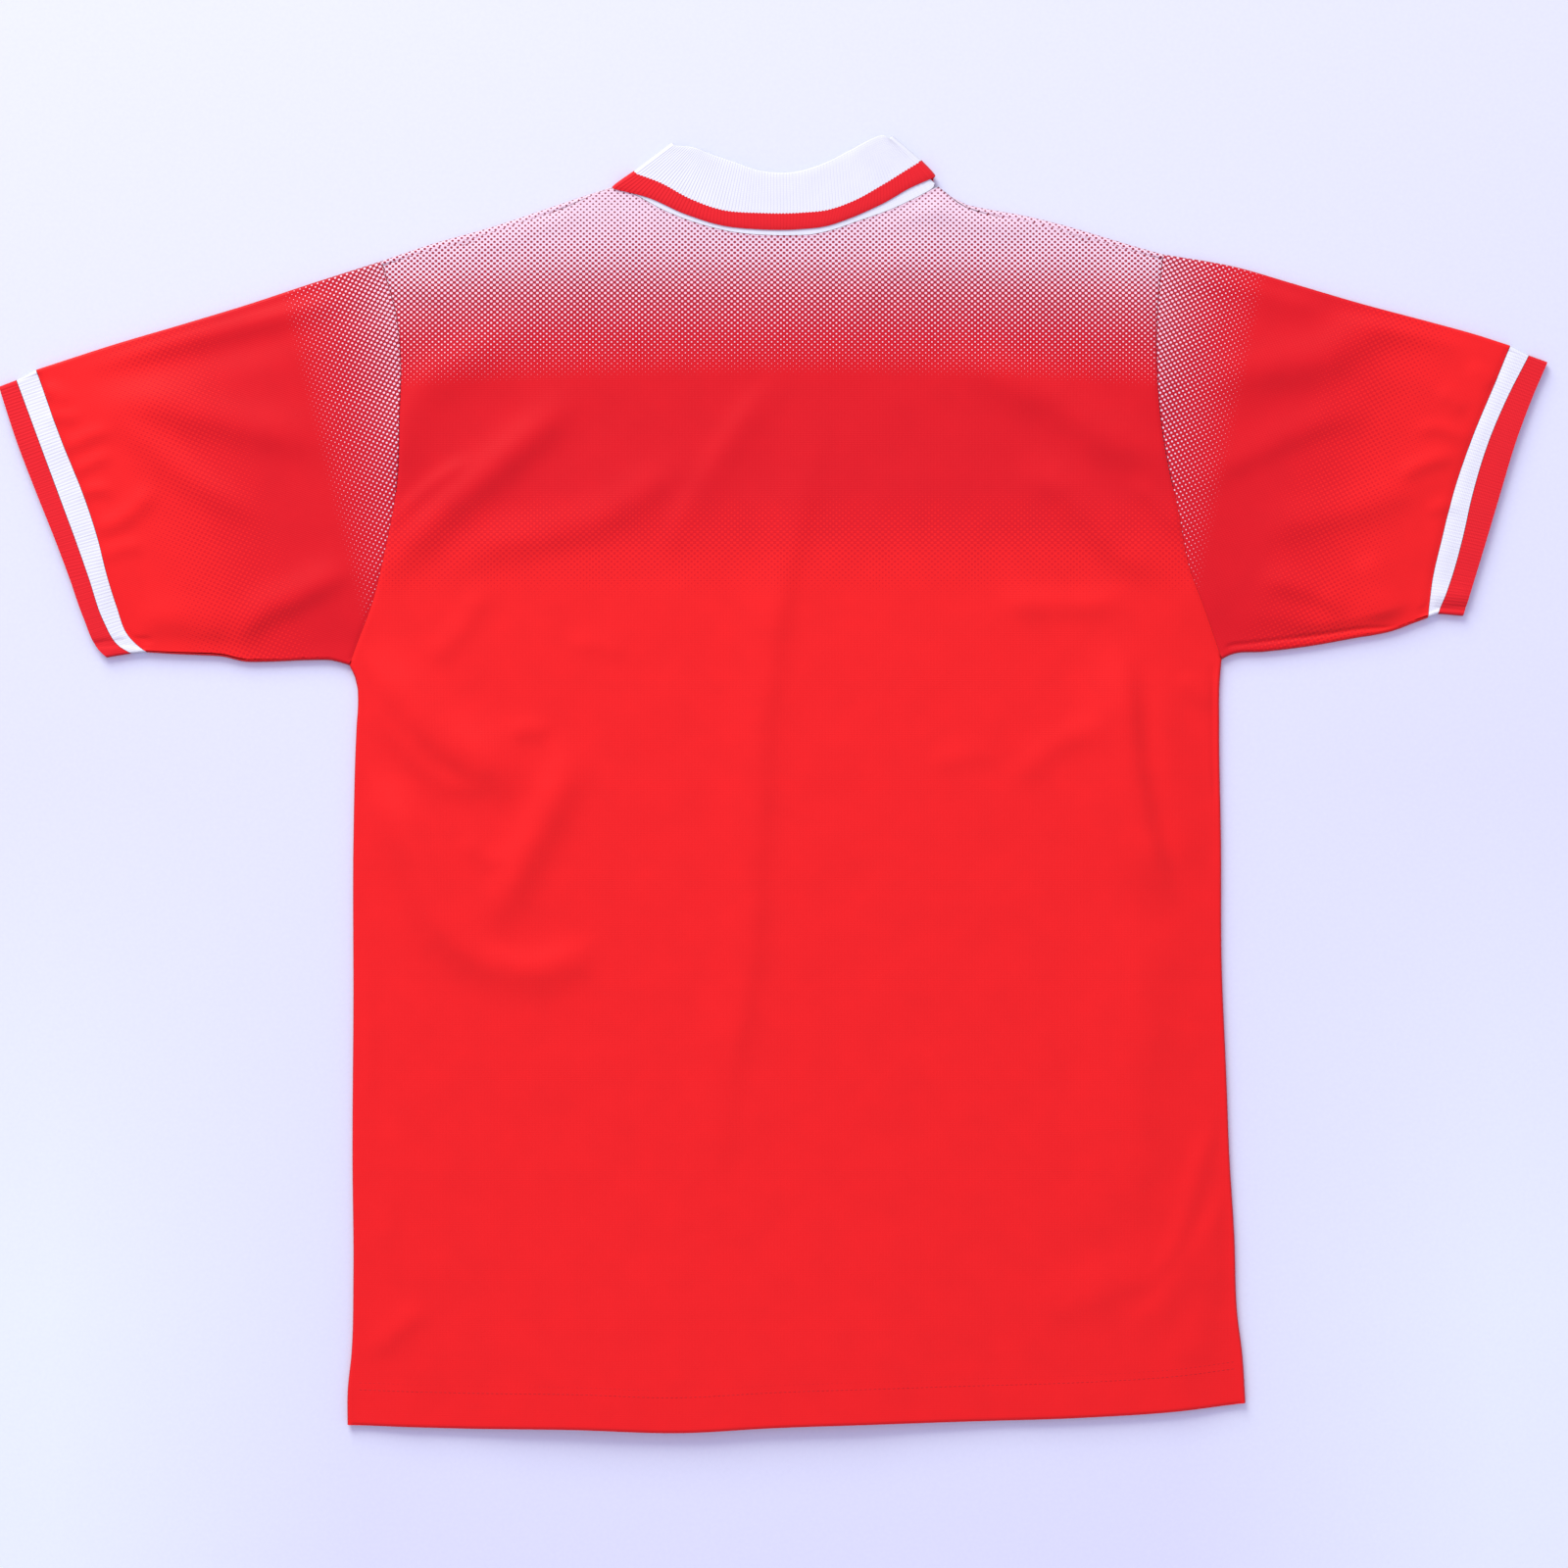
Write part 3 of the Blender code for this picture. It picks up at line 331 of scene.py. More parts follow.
# Columns: depth of the groove that a seam draws into the cloth, half width, line of the seam.
grooves = [(0.45, 1.5, line_of(ARMHOLE[hand], 30)) for hand in HANDS]
grooves += [(0.7, 1.3, line_of(SIDE_SEAM_RIGHT, 14)),
            (0.12, 1.2, line_of(HEM, 40) + (0, HEM_HEIGHT - 1)), (1.0, 1.0, line_of(HEM, 60))]


def distance_to(x, y, line):
    """Distance to a polyline, negative on its right hand, and the fraction of its length there."""
    ends = shares_of(line)
    nearest = np.full(np.shape(x), 1e9)
    fraction = np.zeros(np.shape(x))
    for k in range(len(line) - 1):
        start, step = line[k], line[k + 1] - line[k]
        t = np.clip(((x - start[0]) * step[0] + (y - start[1]) * step[1]) / step.dot(step), 0, 1)
        distance = np.hypot(x - start[0] - t * step[0], y - start[1] - t * step[1])
        side = np.where(step[0] * (y - start[1]) < step[1] * (x - start[0]), -1, 1)
        closer = distance < np.abs(nearest)
        nearest = np.where(closer, distance * side, nearest)
        fraction = np.where(closer, ends[k] + t * (ends[k + 1] - ends[k]), fraction)
    return nearest, fraction


def near(x, y, line, reach):
    """Which points lie within reach of the box round a line; their distances and fractions."""
    low, high = line.min(axis=0) - reach, line.max(axis=0) + reach
    close = (x > low[0]) & (x < high[0]) & (y > low[1]) & (y < high[1])
    return close, *distance_to(x[close], y[close], line)


def top_height(x, y):
    """Height of the upper layer's outer face over a point of the surface it lies on."""
    edge, loft, crease, drawn_in = (np.full(np.shape(x), level) for level in (1e9, LOFT, 0.0, 0.0))
    for line in edges:
        close, distance, _ = near(x, y, line, LOFT_REACH + FOLD_RADIUS)
        edge[close] = np.minimum(edge[close], np.abs(distance))
    for level, line in low_seams:
        close, distance, _ = near(x, y, line, LOFT_REACH)
        raised = level + (LOFT - level) * smooth(np.abs(distance) / LOFT_REACH)
        loft[close] = np.minimum(loft[close], raised)
    inside = edge - FOLD_RADIUS
    height = 2 * FOLD_RADIUS + (loft - 2 * FOLD_RADIUS) * smooth(inside / LOFT_REACH)
    for crest, steep, gentle, line in folds:
        close, distance, along = near(x, y, line, 2.5 * max(steep, gentle))
        fade = smooth(along / 0.3) * smooth((1 - along) / 0.3)
        crease[close] += crest * fade * np.exp(-(distance / np.where(distance < 0, steep, gentle)) ** 2)
    for length, direction, phase in SOFT_WAVES:
        along = x * math.cos(math.radians(direction)) + y * math.sin(math.radians(direction))
        crease += SOFT_WAVE_HEIGHT * np.sin(math.tau * along / length + phase)
    for depth, width, line in grooves:
        close, distance, _ = near(x, y, line, 3 * width)
        drawn_in[close] += depth * np.exp(-(distance / width) ** 2)
    return np.maximum(height + crease * smooth(inside / FOLD_REACH)
                      - drawn_in * smooth(inside / FOLD_RADIUS), LOWEST_TOP)


def lay(plan, turn, inward, lift=0.0):
    """Outer points and outward normals of a laid piece, from its plan.

    turn is 90 on the upper layer, -90 on the lower one, and between them the angle round an edge's
    fold, from which inward points into the piece.
    """
    x, y = plan[..., 0], plan[..., 1]
    step = 0.5
    slope_x = (top_height(x + step, y) - top_height(x - step, y)) / (2 * step)
    slope_y = (top_height(x, y + step) - top_height(x, y - step)) / (2 * step)
    top_normal = unit(np.stack([-slope_x, -slope_y, np.ones(x.shape)], axis=-1))
    angle = np.radians(turn)[..., None]
    fold_normal = np.concatenate([-inward * np.cos(angle), np.sin(angle)], axis=-1)
    fold_height = FOLD_RADIUS * (1 + fold_normal[..., 2])
    on_top = turn >= 90
    height = np.where(on_top, top_height(x, y), np.where(turn <= -90, lift, fold_height))
    return np.stack([x, y, height], axis=-1), np.where(on_top[..., None], top_normal, fold_normal)


def round_edge(outline, inward, arc):
    """A point by its arc from a fold's outermost point: its plan, its turn, and its plan unrolled."""
    flat = abs(arc) >= FOLD_ARC
    turn = math.copysign(90.0, arc) if flat else math.degrees(arc / FOLD_RADIUS)
    unrolled = FOLD_RADIUS + abs(arc) - FOLD_ARC
    depth = unrolled if flat else FOLD_RADIUS * (1 - math.cos(arc / FOLD_RADIUS))
    return outline + inward * depth, turn, outline + inward * unrolled


def new_object(name, data):
    made = bpy.data.objects.new(name, data)
    bpy.context.collection.objects.link(made)
    return made


def new_piece(name, points, faces, places, material, sharp_angle):
    """A mesh object from points and places of the cloth's own plane, both in millimetres."""
    mesh = bpy.data.meshes.new(name)
    mesh.from_pydata(((points + ZERO) * MM).tolist(), [], faces)
    corners = np.zeros(len(mesh.loops), dtype=np.int32)
    mesh.loops.foreach_get("vertex_index", corners)
    mesh.uv_layers.new(name="print").data.foreach_set("uv", (places * MM)[corners].ravel())
    tidy = bmesh.new()
    tidy.from_mesh(mesh)
    bmesh.ops.recalc_face_normals(tidy, faces=tidy.faces)
    tidy.to_mesh(mesh)
    tidy.free()
    mesh.shade_smooth()
    mesh.set_sharp_from_angle(angle=math.radians(sharp_angle))
    mesh.materials.append(material)
    return new_object(name, mesh)


def cloth_mesh(name, outer, inner, closed, places, material, left_out=()):
    """A thin wall between two grids of points."""
    rows, columns = outer.shape[:2]
    cells = [(i * columns + j, i * columns + (j + 1) % columns, (i + 1) * columns + (j + 1) % columns,
              (i + 1) * columns + j)
             for i in range(rows - 1) for j in range(columns if closed else columns - 1)
             if (i, j) not in left_out]
    sides = [(cell[n], cell[(n + 1) % 4]) for cell in cells for n in range(4)]
    shared = set(sides)
    count = rows * columns
    faces = cells + [tuple(count + c for c in reversed(cell)) for cell in cells]
    faces += [(b, a, count + a, count + b) for a, b in sides if (b, a) not in shared]
    used = np.zeros(2 * count, dtype=bool)
    used[np.array(faces).ravel()] = True
    index = np.cumsum(used) - 1
    points = np.concatenate([outer.reshape(-1, 3), inner.reshape(-1, 3)])[used]
    places = np.concatenate([places.reshape(-1, 2)] * 2)[used]
    return new_piece(name, points, index[np.array(faces)].tolist(), places, material, 50)


def stands_for(piece, cad_node, slot, **cut):
    """The piece takes a CAD node's place; its slot and its cut are not used."""
    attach(piece, "root")
    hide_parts(cad_node)


V_ARMPIT = 0.65  # the armpit's place between hem and shoulder, by rows
U_NECK = (0.30, 0.71)  # the neck points' places between left and right, by columns
U_RIM = 0.0192  # the share of the width that the columns at each edge take
RIM = np.array((0, 0.05, 0.1, 0.15, 0.2, 0.25, 0.3, 0.4, 0.55, 0.75, 1))
EDGE_SHARE = 0.0001  # the panel's edge at an armhole, as a share of its width


def panel_plan(us, vs, top):
    """Plan points of a panel: a patch between its sides, its hem and its top edge."""
    us, vs = np.asarray(us, dtype=float), np.asarray(vs, dtype=float)

    def boundary(hand):
        low, high = SIDE[hand](vs / V_ARMPIT), ARMHOLE[hand]((vs - V_ARMPIT) / (1 - V_ARMPIT))
        return np.where((vs <= V_ARMPIT)[:, None], low, high)[:, None, :]
    u, v = us[None, :, None], vs[:, None, None]
    corners = ((1 - u) * (1 - v) * HEM(0) + u * (1 - v) * HEM(1)
               + (1 - u) * v * ARMHOLE["left"](1) + u * v * ARMHOLE["right"](1))
    return ((1 - u) * boundary("left") + u * boundary("right") + (1 - v) * HEM(us)[None]
            + v * top(us)[None] - corners)


def top_edge(neckline):
    """A panel's top edge from sleeve to sleeve: shoulder, neckline, shoulder."""
    def at(us):
        left, right = SHOULDER["left"](us / U_NECK[0]), SHOULDER["right"]((us - U_NECK[1]) / (1 - U_NECK[1]))
        middle = neckline((us - U_NECK[0]) / (U_NECK[1] - U_NECK[0]))
        u = us[:, None]
        return np.where(u < U_NECK[0], left, np.where(u > U_NECK[1], right, middle))
    return at


def shoulder_seam(us):
    """Distance of the shoulder seam from the shoulder's fold."""
    along = np.where(us < 0.5, us / U_NECK[0], (1 - us) / (1 - U_NECK[1]))
    return np.interp(along, *zip(*SHOULDER_SEAM))


shoulder_lines = []
back_top = top_edge(NECK_BACK)
for us in (np.linspace(0, 0.99 * U_NECK[0], 40), np.linspace(U_NECK[1] + 0.003, 1, 40)):
    into = unit(panel_plan(us, (0.99,), back_top)[0] - back_top(us))
    reach = shoulder_seam(us)
    shoulder_lines.append((back_top(us) + into * reach[:, None])[reach > SEEN_SEAM])
    grooves.append((0.5, 1.2, shoulder_lines[-1]))


def panel(name, is_back, neckline, side_rows, armhole_rows, shoulder_columns, neck_columns,
          top_rows, wrap_rows, neck_lift, print_shift, material):
    """The back or the front panel, from its hem to its top edge."""
    up = 1 if is_back else -1
    top = top_edge(neckline)
    rim = U_RIM * RIM
    us = np.hstack([rim, np.linspace(U_RIM, U_NECK[0], shoulder_columns, endpoint=False)[1:],
                    np.linspace(*U_NECK, neck_columns + 1),
                    np.linspace(U_NECK[1], 1 - U_RIM, shoulder_columns)[1:-1], 1 - rim[::-1]])
    us = np.clip(us, EDGE_SHARE, 1 - EDGE_SHARE)
    vs = np.hstack([V_ARMPIT * side_rows, V_ARMPIT + (1 - V_ARMPIT) * armhole_rows])
    plan = panel_plan(us, vs, top)
    top_points = top(us)
    into = unit(plan[-1] - top_points)
    depth = np.linalg.norm(plan[-1] - top_points, axis=1)
    turn = np.full(plan.shape[:2], 90.0 * up)
    inward = np.zeros(plan.shape)
    printed = plan.copy()
    ends = panel_plan((0, U_RIM, 1 - U_RIM, 1), vs, top)
    for i in np.flatnonzero(vs <= V_ARMPIT):
        for outline, inner, columns in ((ends[i, 0], ends[i, 1], range(len(RIM) - 1)),
                                        (ends[i, 3], ends[i, 2], range(-1, -len(RIM), -1))):
            end_arc = FOLD_ARC + np.linalg.norm(inner - outline) - FOLD_RADIUS
            for share, j in zip(RIM, columns):
                arc = up * (HALF_GAP + (end_arc - HALF_GAP) * share)
                inward[i, j] = unit(inner - outline)
                plan[i, j], turn[i, j], printed[i, j] = round_edge(outline, inward[i, j], arc)

    in_neck = (us > U_NECK[0]) & (us < U_NECK[1])
    seam = FOLD_ARC + shoulder_seam(us) - FOLD_RADIUS

    def top_point(j, share, wrapped):
        """From the last row, share 1, to the top edge, 0, and then wrapped up to 1 to the seam."""
        if in_neck[j]:
            place = top_points[j] + into[j] * (HALF_GAP + (depth[j] - HALF_GAP) * share)
            return place, 90.0 * up, place, neck_lift * max(0, 1 - 2 * share)
        start = seam[j] + HALF_GAP if is_back else FOLD_ARC
        arc = up * (start + (FOLD_ARC + depth[j] - FOLD_RADIUS - start) * share)
        if wrapped:
            arc = (seam[j] - HALF_GAP + FOLD_ARC) * wrapped - FOLD_ARC
        return *round_edge(top_points[j], into[j], arc), 0.0

    steps = [(share, 0) for share in top_rows] + [(0, (step + 1) / wrap_rows) for step in range(wrap_rows)]
    rows = [[top_point(j, *step) for j in range(len(us))] for step in steps]
    plan, turn, printed, lift = (
        np.concatenate([below, [[point[k] for point in row] for row in rows]])
        for k, below in enumerate((plan, turn, printed, np.zeros(turn.shape))))
    inward = np.concatenate([inward, np.tile(into, (len(rows), 1, 1))])
    neck = np.flatnonzero((us > U_NECK[0] - 1e-9) & (us < U_NECK[1] - 1e-9))
    left_out = {(i, j) for i in range(len(plan) - 1 - wrap_rows, len(plan) - 1) for j in neck}

    outer, normal = lay(plan, turn, inward, lift)
    above_hem = outer[..., 1] - np.interp(outer[..., 0], *line_of(HEM, 60).T)
    wall = WALL + (HEM_WALL - WALL) * (above_hem < HEM_HEIGHT)
    return cloth_mesh(name, outer, outer - normal * wall[..., None], False, printed + print_shift,
                      material, left_out)


# The fades run down the body; the white one sags a little towards the sides.
WHITE_FADE = (668 * MM, 785.6 * MM)  # where the last white ends, where the first dots begin
WHITE_SAG = 8 * MM / 0.23**2
MOST_BARE = 0.76  # the smallest dots go on over the shoulders
RED_FADE = (604 * MM, 523 * MM)  # where the dark red's fade starts and ends


def body_bare(tree, along, across):
    sag = maths(tree, "MULTIPLY", maths(tree, "MULTIPLY", along, along), WHITE_SAG)
    height = maths(tree, "SUBTRACT", maths(tree, "ADD", across, sag), WHITE_FADE[0])
    bare = maths(tree, "MULTIPLY_ADD", height, 0.85 / (WHITE_FADE[1] - WHITE_FADE[0]), -0.036)
    return maths(tree, "MINIMUM", bare, MOST_BARE)


body_cloth = printed_polyester("printed_body_cloth", body_bare, 1, *RED_FADE)
BODY_CUT = {"flat": (0.575, 0.800), "area": 0.415}
HEM_RIM = (0, 0.001, 0.002, 0.0032, 0.0045)  # closer rows where the hem turns down
back_rows = np.concatenate([HEM_RIM, np.linspace(0, 1, 140)[1:]])
back = panel("back_cloth", True, NECK_BACK, back_rows, np.arange(1, 78) / 78, 40, 56,
             (0.8, 0.6, 0.4, 0.2, 0.1, 0), 0, 0.0, (0, 0), body_cloth)
stands_for(back, "back", "printed_polyester", held="laid", rests_on=["front"], **BODY_CUT)

# ======== front panel
# The same cloth, cut with a deeper neck.  It lies on the surface, turns up at its sides to meet
# the back, and wraps over the shoulders to the seam there.
NECK_FRONT = path((-107.5, 791.5, -98, 768, -85, 738, -62, 704, -32, 680, -4, 672, 24, 680, 54, 704,
                   77, 738, 89, 768, 98.1, 791.3))
NECK_LIFT = 1.3  # the neckline's edge, over the collar's seam allowance
front = panel("front_cloth", False, NECK_FRONT, np.linspace(0, 1, 60), np.arange(1, 32) / 32, 14, 28,
              (0.7, 0.4, 0.2, 0.1, 0), 14, NECK_LIFT, (1.3, 0.9), body_cloth)
stands_for(front, "front", "printed_polyester", held="laid", rests_on=["floor"], **BODY_CUT)

# ======== stitches
# The hem is turned up and sewn with two rows of red thread, a row of pale rose thread holds down
# the neck seam, and brown-rose stitches show at the shoulders and the armholes' upper halves.
# Each stitch is a short rounded length of thread that sinks into the cloth.
HEM_ROWS = (22.8, 27.2)
STITCH_SUNK = 0.08  # a thread's middle under the cloth's face


def thread(name, colour):
    """Spun polyester thread: its twist shows as a fine ripple."""
    made, tree, shader = new_look(name)
    place = node(tree, "ShaderNodeTexCoord", {})["Object"]
    twist = node(tree, "ShaderNodeTexNoise", {}, Vector=place, Scale=2500.0, Detail=2.0)[0]
    colour = toned(tree, colour, maths(tree, "MULTIPLY_ADD", twist, 0.4, 0.75))
    feed(tree, shader, Base_Color=colour, Roughness=0.5, Specular_IOR_Level=0.3)
    return made


def stitched(name, rows, pitch, length, width, material):
    """Rows of stitches along lines of outer points, in millimetres."""
    mesh = bpy.data.meshes.new(name)
    starts = np.cumsum([0] + [len(row) for row in rows])
    links = [(start + k, start + k + 1) for start, row in zip(starts, rows) for k in range(len(row) - 1)]
    mesh.from_pydata(((np.concatenate(rows) + ZERO) * MM).tolist(), links, [])
    piece = new_object(name, mesh)
    tree = bpy.data.node_groups.new(name, "GeometryNodeTree")
    for way in ("INPUT", "OUTPUT"):
        tree.interface.new_socket("Stitches", in_out=way, socket_type="NodeSocketGeometry")
    lines = node(tree, "GeometryNodeMeshToCurve", {}, Mesh=node(tree, "NodeGroupInput", {})[0])[0]
    evenly = node(tree, "GeometryNodeResampleCurve", {"mode": "LENGTH"}, Curve=lines, Length=pitch * MM)[0]
    ahead = node(tree, "GeometryNodeInputTangent", {})[0]
    aim = node(tree, "FunctionNodeAlignRotationToVector", {"axis": "Z"}, Vector=ahead)[0]
    bead = node(tree, "GeometryNodeMeshUVSphere", {}, Segments=8, Rings=6, Radius=0.5)[0]
    size = (width * MM, width * MM, length * MM)
    sized = node(tree, "GeometryNodeTransform", {}, Geometry=bead, Scale=size)[0]
    placed = node(tree, "GeometryNodeInstanceOnPoints", {}, Points=evenly, Instance=sized, Rotation=aim)[0]
    placed = node(tree, "GeometryNodeRealizeInstances", {}, Geometry=placed)[0]
    placed = node(tree, "GeometryNodeSetMaterial", {}, Geometry=placed, Material=material)[0]
    node(tree, "NodeGroupOutput", {}, placed)
    modifier = piece.modifiers.new("stitching", "NODES")
    modifier.node_group = tree
    bpy.context.view_layer.update()
    evaluated = piece.evaluated_get(bpy.context.evaluated_depsgraph_get())
    finished = bpy.data.meshes.new_from_object(evaluated)
    piece.modifiers.remove(modifier)
    piece.data = finished
    finished.shade_smooth()
    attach(piece, "root")


def on_top(line):
    return np.column_stack([line, top_height(*line.T) - STITCH_SUNK])


hem_lines = [line_of(HEM, 200)[3:-3] + (0, up) for up in HEM_ROWS]
hem_undersides = [np.column_stack([line, np.full(len(line), 0.15)]) for line in hem_lines]
red_thread = thread("red_sewing_thread", (0.62, 0.004, 0.010))
stitched("hem_stitches_back", [on_top(line) for line in hem_lines], 3.0, 2.3, 0.42, red_thread)
stitched("hem_stitches_front", hem_undersides, 3.0, 2.3, 0.42, red_thread)
neck_line = line_of(NECK_BACK, 160)[2:-2]
ahead = np.gradient(neck_line, axis=0)
below_neck = unit(np.column_stack([ahead[:, 1], -ahead[:, 0]]))
rose_thread = thread("rose_sewing_thread", (0.66, 0.30, 0.46))
stitched("neck_stitches", [on_top(neck_line + below_neck * 1.1)], 3.4, 2.4, 0.40, rose_thread)
brown_thread = thread("brown_rose_sewing_thread", (0.26, 0.008, 0.022))
stitched("shoulder_stitches", [on_top(line[2:-2]) for line in shoulder_lines], 3.4, 2.4, 0.7,
         brown_thread)
stitched("armhole_stitches", [on_top(line_of(ARMHOLE[hand], 120)[52:-2]) for hand in HANDS],
         2.6, 2.0, 0.85, brown_thread)

# ======== sleeves
# Each is one piece of the printed cloth, folded along its top and closed by an underarm seam, set
# into the armhole and gathered slightly into its cuff, which leaves small puckers there.
CUFF_LOFT = 4.5
SLEEVE_TOP = both(
    (-256.3, 743.8, -303.1, 728.8, -341.3, 716.2, -383.1, 703.5, -426.9, 690.6, -464, 678.6,
     -476.3, 674.6),
    (241.3, 748.1, 287.5, 740, 324.4, 729.4, 366.9, 716.9, 413.8, 704.4, 440, 697.2, 462.5, 690))
SLEEVE_UNDER = both(
    (-276.9, 486.3, -288, 489.2, -303, 489.4, -330, 488.4, -344, 488.6, -357, 491.6, -372, 492.6,
     -386, 493.2, -405.5, 494.4),
    (278.8, 490, 284.4, 492.8, 306, 494.8, 333.8, 498.2, 361, 503, 388.8, 508.4, 402, 513.4, 410, 516.3))
CUFF_SEAM = both(
    (-405.5, 494.4, -410.4, 497.8, -417.9, 505.5, -425, 523.8, -430.6, 541.9, -436.9, 566.9,
     -445, 591.9, -460, 629.4, -476.3, 674.6),
    (410, 516.3, 413.1, 541.9, 418.8, 566.9, 425, 591.9, 437.5, 629.4, 453.1, 666.9, 462.5, 690))
UNDERARM_SEAM_RIGHT = path((284, 498.6, 316, 502.4, 346, 506.3, 372, 509.8, 390, 509.6))
SLEEVE_FOLDS = (
    # left sleeve
    (1.8, 11, 7, -470, 673, -430, 685, -390, 694, -350, 703, -320, 710, -292, 717, -256, 732),
    (-0.9, 12, 9, -450, 662, -390, 680, -350, 689, -320, 696, -285, 705),
    (2.2, 11, 15, -446, 662, -415, 653, -390, 648, -365, 643, -340, 637, -315, 631, -286, 622),
    (1.7, 10, 10, -446, 648, -422, 640, -405, 628, -388, 613, -370, 600, -352, 589, -322, 574),
    (2.4, 8, 13, -356, 496, -342, 511, -328, 521, -312, 528, -294, 538, -268, 550),
    (1.7, 10, 14, -418, 514, -392, 516, -370, 513, -346, 505),
    (1.2, 5, 5, -462, 622, -448, 629, -434, 634, -424, 634),
    (1.0, 4, 4, -456, 607, -442, 614, -426, 622),
    (1.0, 4, 4, -450, 594, -438, 598, -426, 597),
    (1.7, 6, 7, -444, 571, -424, 577, -410, 588, -400, 604),
    (1.0, 5, 6, -438, 552, -424, 560, -404, 562),
    (1.2, 6, 5, -474, 662, -464, 660, -456, 650),
    (1.0, 5, 5, -470, 642, -458, 645, -448, 640),
    # right sleeve
    (1.7, 13, 8, 248, 742, 278, 737, 302, 729, 326, 720, 352, 712),
    (2.7, 13, 16, 248, 658, 276, 669, 304, 674, 326, 677, 346, 683, 361, 692, 378, 701, 404, 702,
     430, 696, 456, 686),
    (1.6, 8, 13, 262, 590, 280, 611, 300, 621, 322, 632, 344, 641, 378, 650),
    (1.8, 11, 15, 288, 566, 318, 574, 342, 580, 362, 585, 382, 592, 402, 600, 426, 602),
    (1.3, 5, 6, 388, 602, 402, 612, 416, 617, 432, 618),
    (0.9, 4, 5, 398, 632, 412, 637, 426, 634, 440, 626),
    (0.9, 6, 6, 414, 660, 424, 656, 434, 646),
    (0.8, 6, 5, 434, 676, 444, 672, 452, 662),
    (0.8, 4, 5, 408, 582, 418, 587, 430, 586),
    (1.7, 6, 11, 298, 541, 322, 536, 342, 530, 362, 517),
    (1.3, 12, 9, 390, 508, 376, 532, 368, 560),
    (1.6, 10, 14, 280, 513, 310, 518, 336, 514, 365, 517, 388, 524, 408, 534),
    (1.1, 5, 8, 408, 528, 424, 529, 440, 527),
)
folds += fold_lines(SLEEVE_FOLDS)
for hand in HANDS:
    edges += [line_of(curves[hand], 40) for curves in (SLEEVE_TOP, SLEEVE_UNDER)]
    low_seams.append((CUFF_LOFT, line_of(CUFF_SEAM[hand], 20)))
    grooves.append((0.7, 2.5, line_of(CUFF_SEAM[hand], 20)))
grooves.append((1.3, 1.1, line_of(UNDERARM_SEAM_RIGHT, 14)))
# The cuffs' lower ends are pressed down beside the seam.
grooves.append((1.2, 3.0, np.array(((408, 520.5), (446, 521.5)))))
grooves.append((1.0, 2.5, np.array(((-442, 499), (-406, 502)))))

# The print follows the sleeve's length, as it was cut: white at the armhole, dark, then bright.
SLEEVE_AXIS = {"left": math.radians(180 + 17.5), "right": math.radians(-15.5)}
SLEEVE_FADE_END = 69 * MM
SLEEVE_FADE_SLANT = 0.062
SLEEVE_BARE = 0.48
SLEEVE_RED_FADE = (100 * MM, 208 * MM)


def sleeve_bare(tree, along, across):
    end = maths(tree, "MULTIPLY_ADD", maths(tree, "ABSOLUTE", across), SLEEVE_FADE_SLANT, SLEEVE_FADE_END)
    share = maths(tree, "SUBTRACT", 1.0, maths(tree, "DIVIDE", along, end))
    return maths(tree, "MULTIPLY_ADD", share, SLEEVE_BARE, -0.02)


sleeve_cloth = printed_polyester("printed_sleeve_cloth", sleeve_bare, 0, *SLEEVE_RED_FADE)


def flat_tube(name, start, end, under, over, shares, rows, wall, material, axis, origin,
              relief=None):
    """A flattened tube between two curves that both run from the underside to the top fold."""
    def plan_at(s, v):
        corners = ((1 - s) * (1 - v) * start(0) + (1 - s) * v * start(1)
                   + s * (1 - v) * end(0) + s * v * end(1))
        return (1 - s) * start(v) + s * end(v) + (1 - v) * under(s) + v * over(s) - corners

    direction = np.array([math.cos(axis), math.sin(axis)])
    downward = np.array([-direction[1], direction[0]])
    downward *= -np.sign(downward[1])
    rings = []
    for s in shares:
        ring = []
        for v, side in ((0.0, 1), (1.0, -1)):
            edge = plan_at(s, v)
            into = unit(plan_at(s, v + 0.05 * side) - edge)
            for angle in np.linspace(-90, 90, 9) * side:
                place, turn, _ = round_edge(edge, into, FOLD_RADIUS * math.radians(angle))
                ring.append((place, turn, into, side if angle <= 0 else 1))
            ring += [(plan_at(s, v), 90.0 * side, into, side) for v in rows[::side]]
        rings.append(ring)
    plan, turn, inward, side = (np.array([[point[k] for point in ring] for ring in rings], dtype=float)
                                for k in range(4))
    printed = np.stack([(plan - origin).dot(direction), side * (plan - origin).dot(downward)], axis=-1)
    outer, normal = lay(plan, turn, inward)
    if relief is not None:
        outer = outer + normal * relief(plan)[..., None] * (turn > -90)[..., None]
    return cloth_mesh(name, outer, outer - normal * wall, True, printed, material)


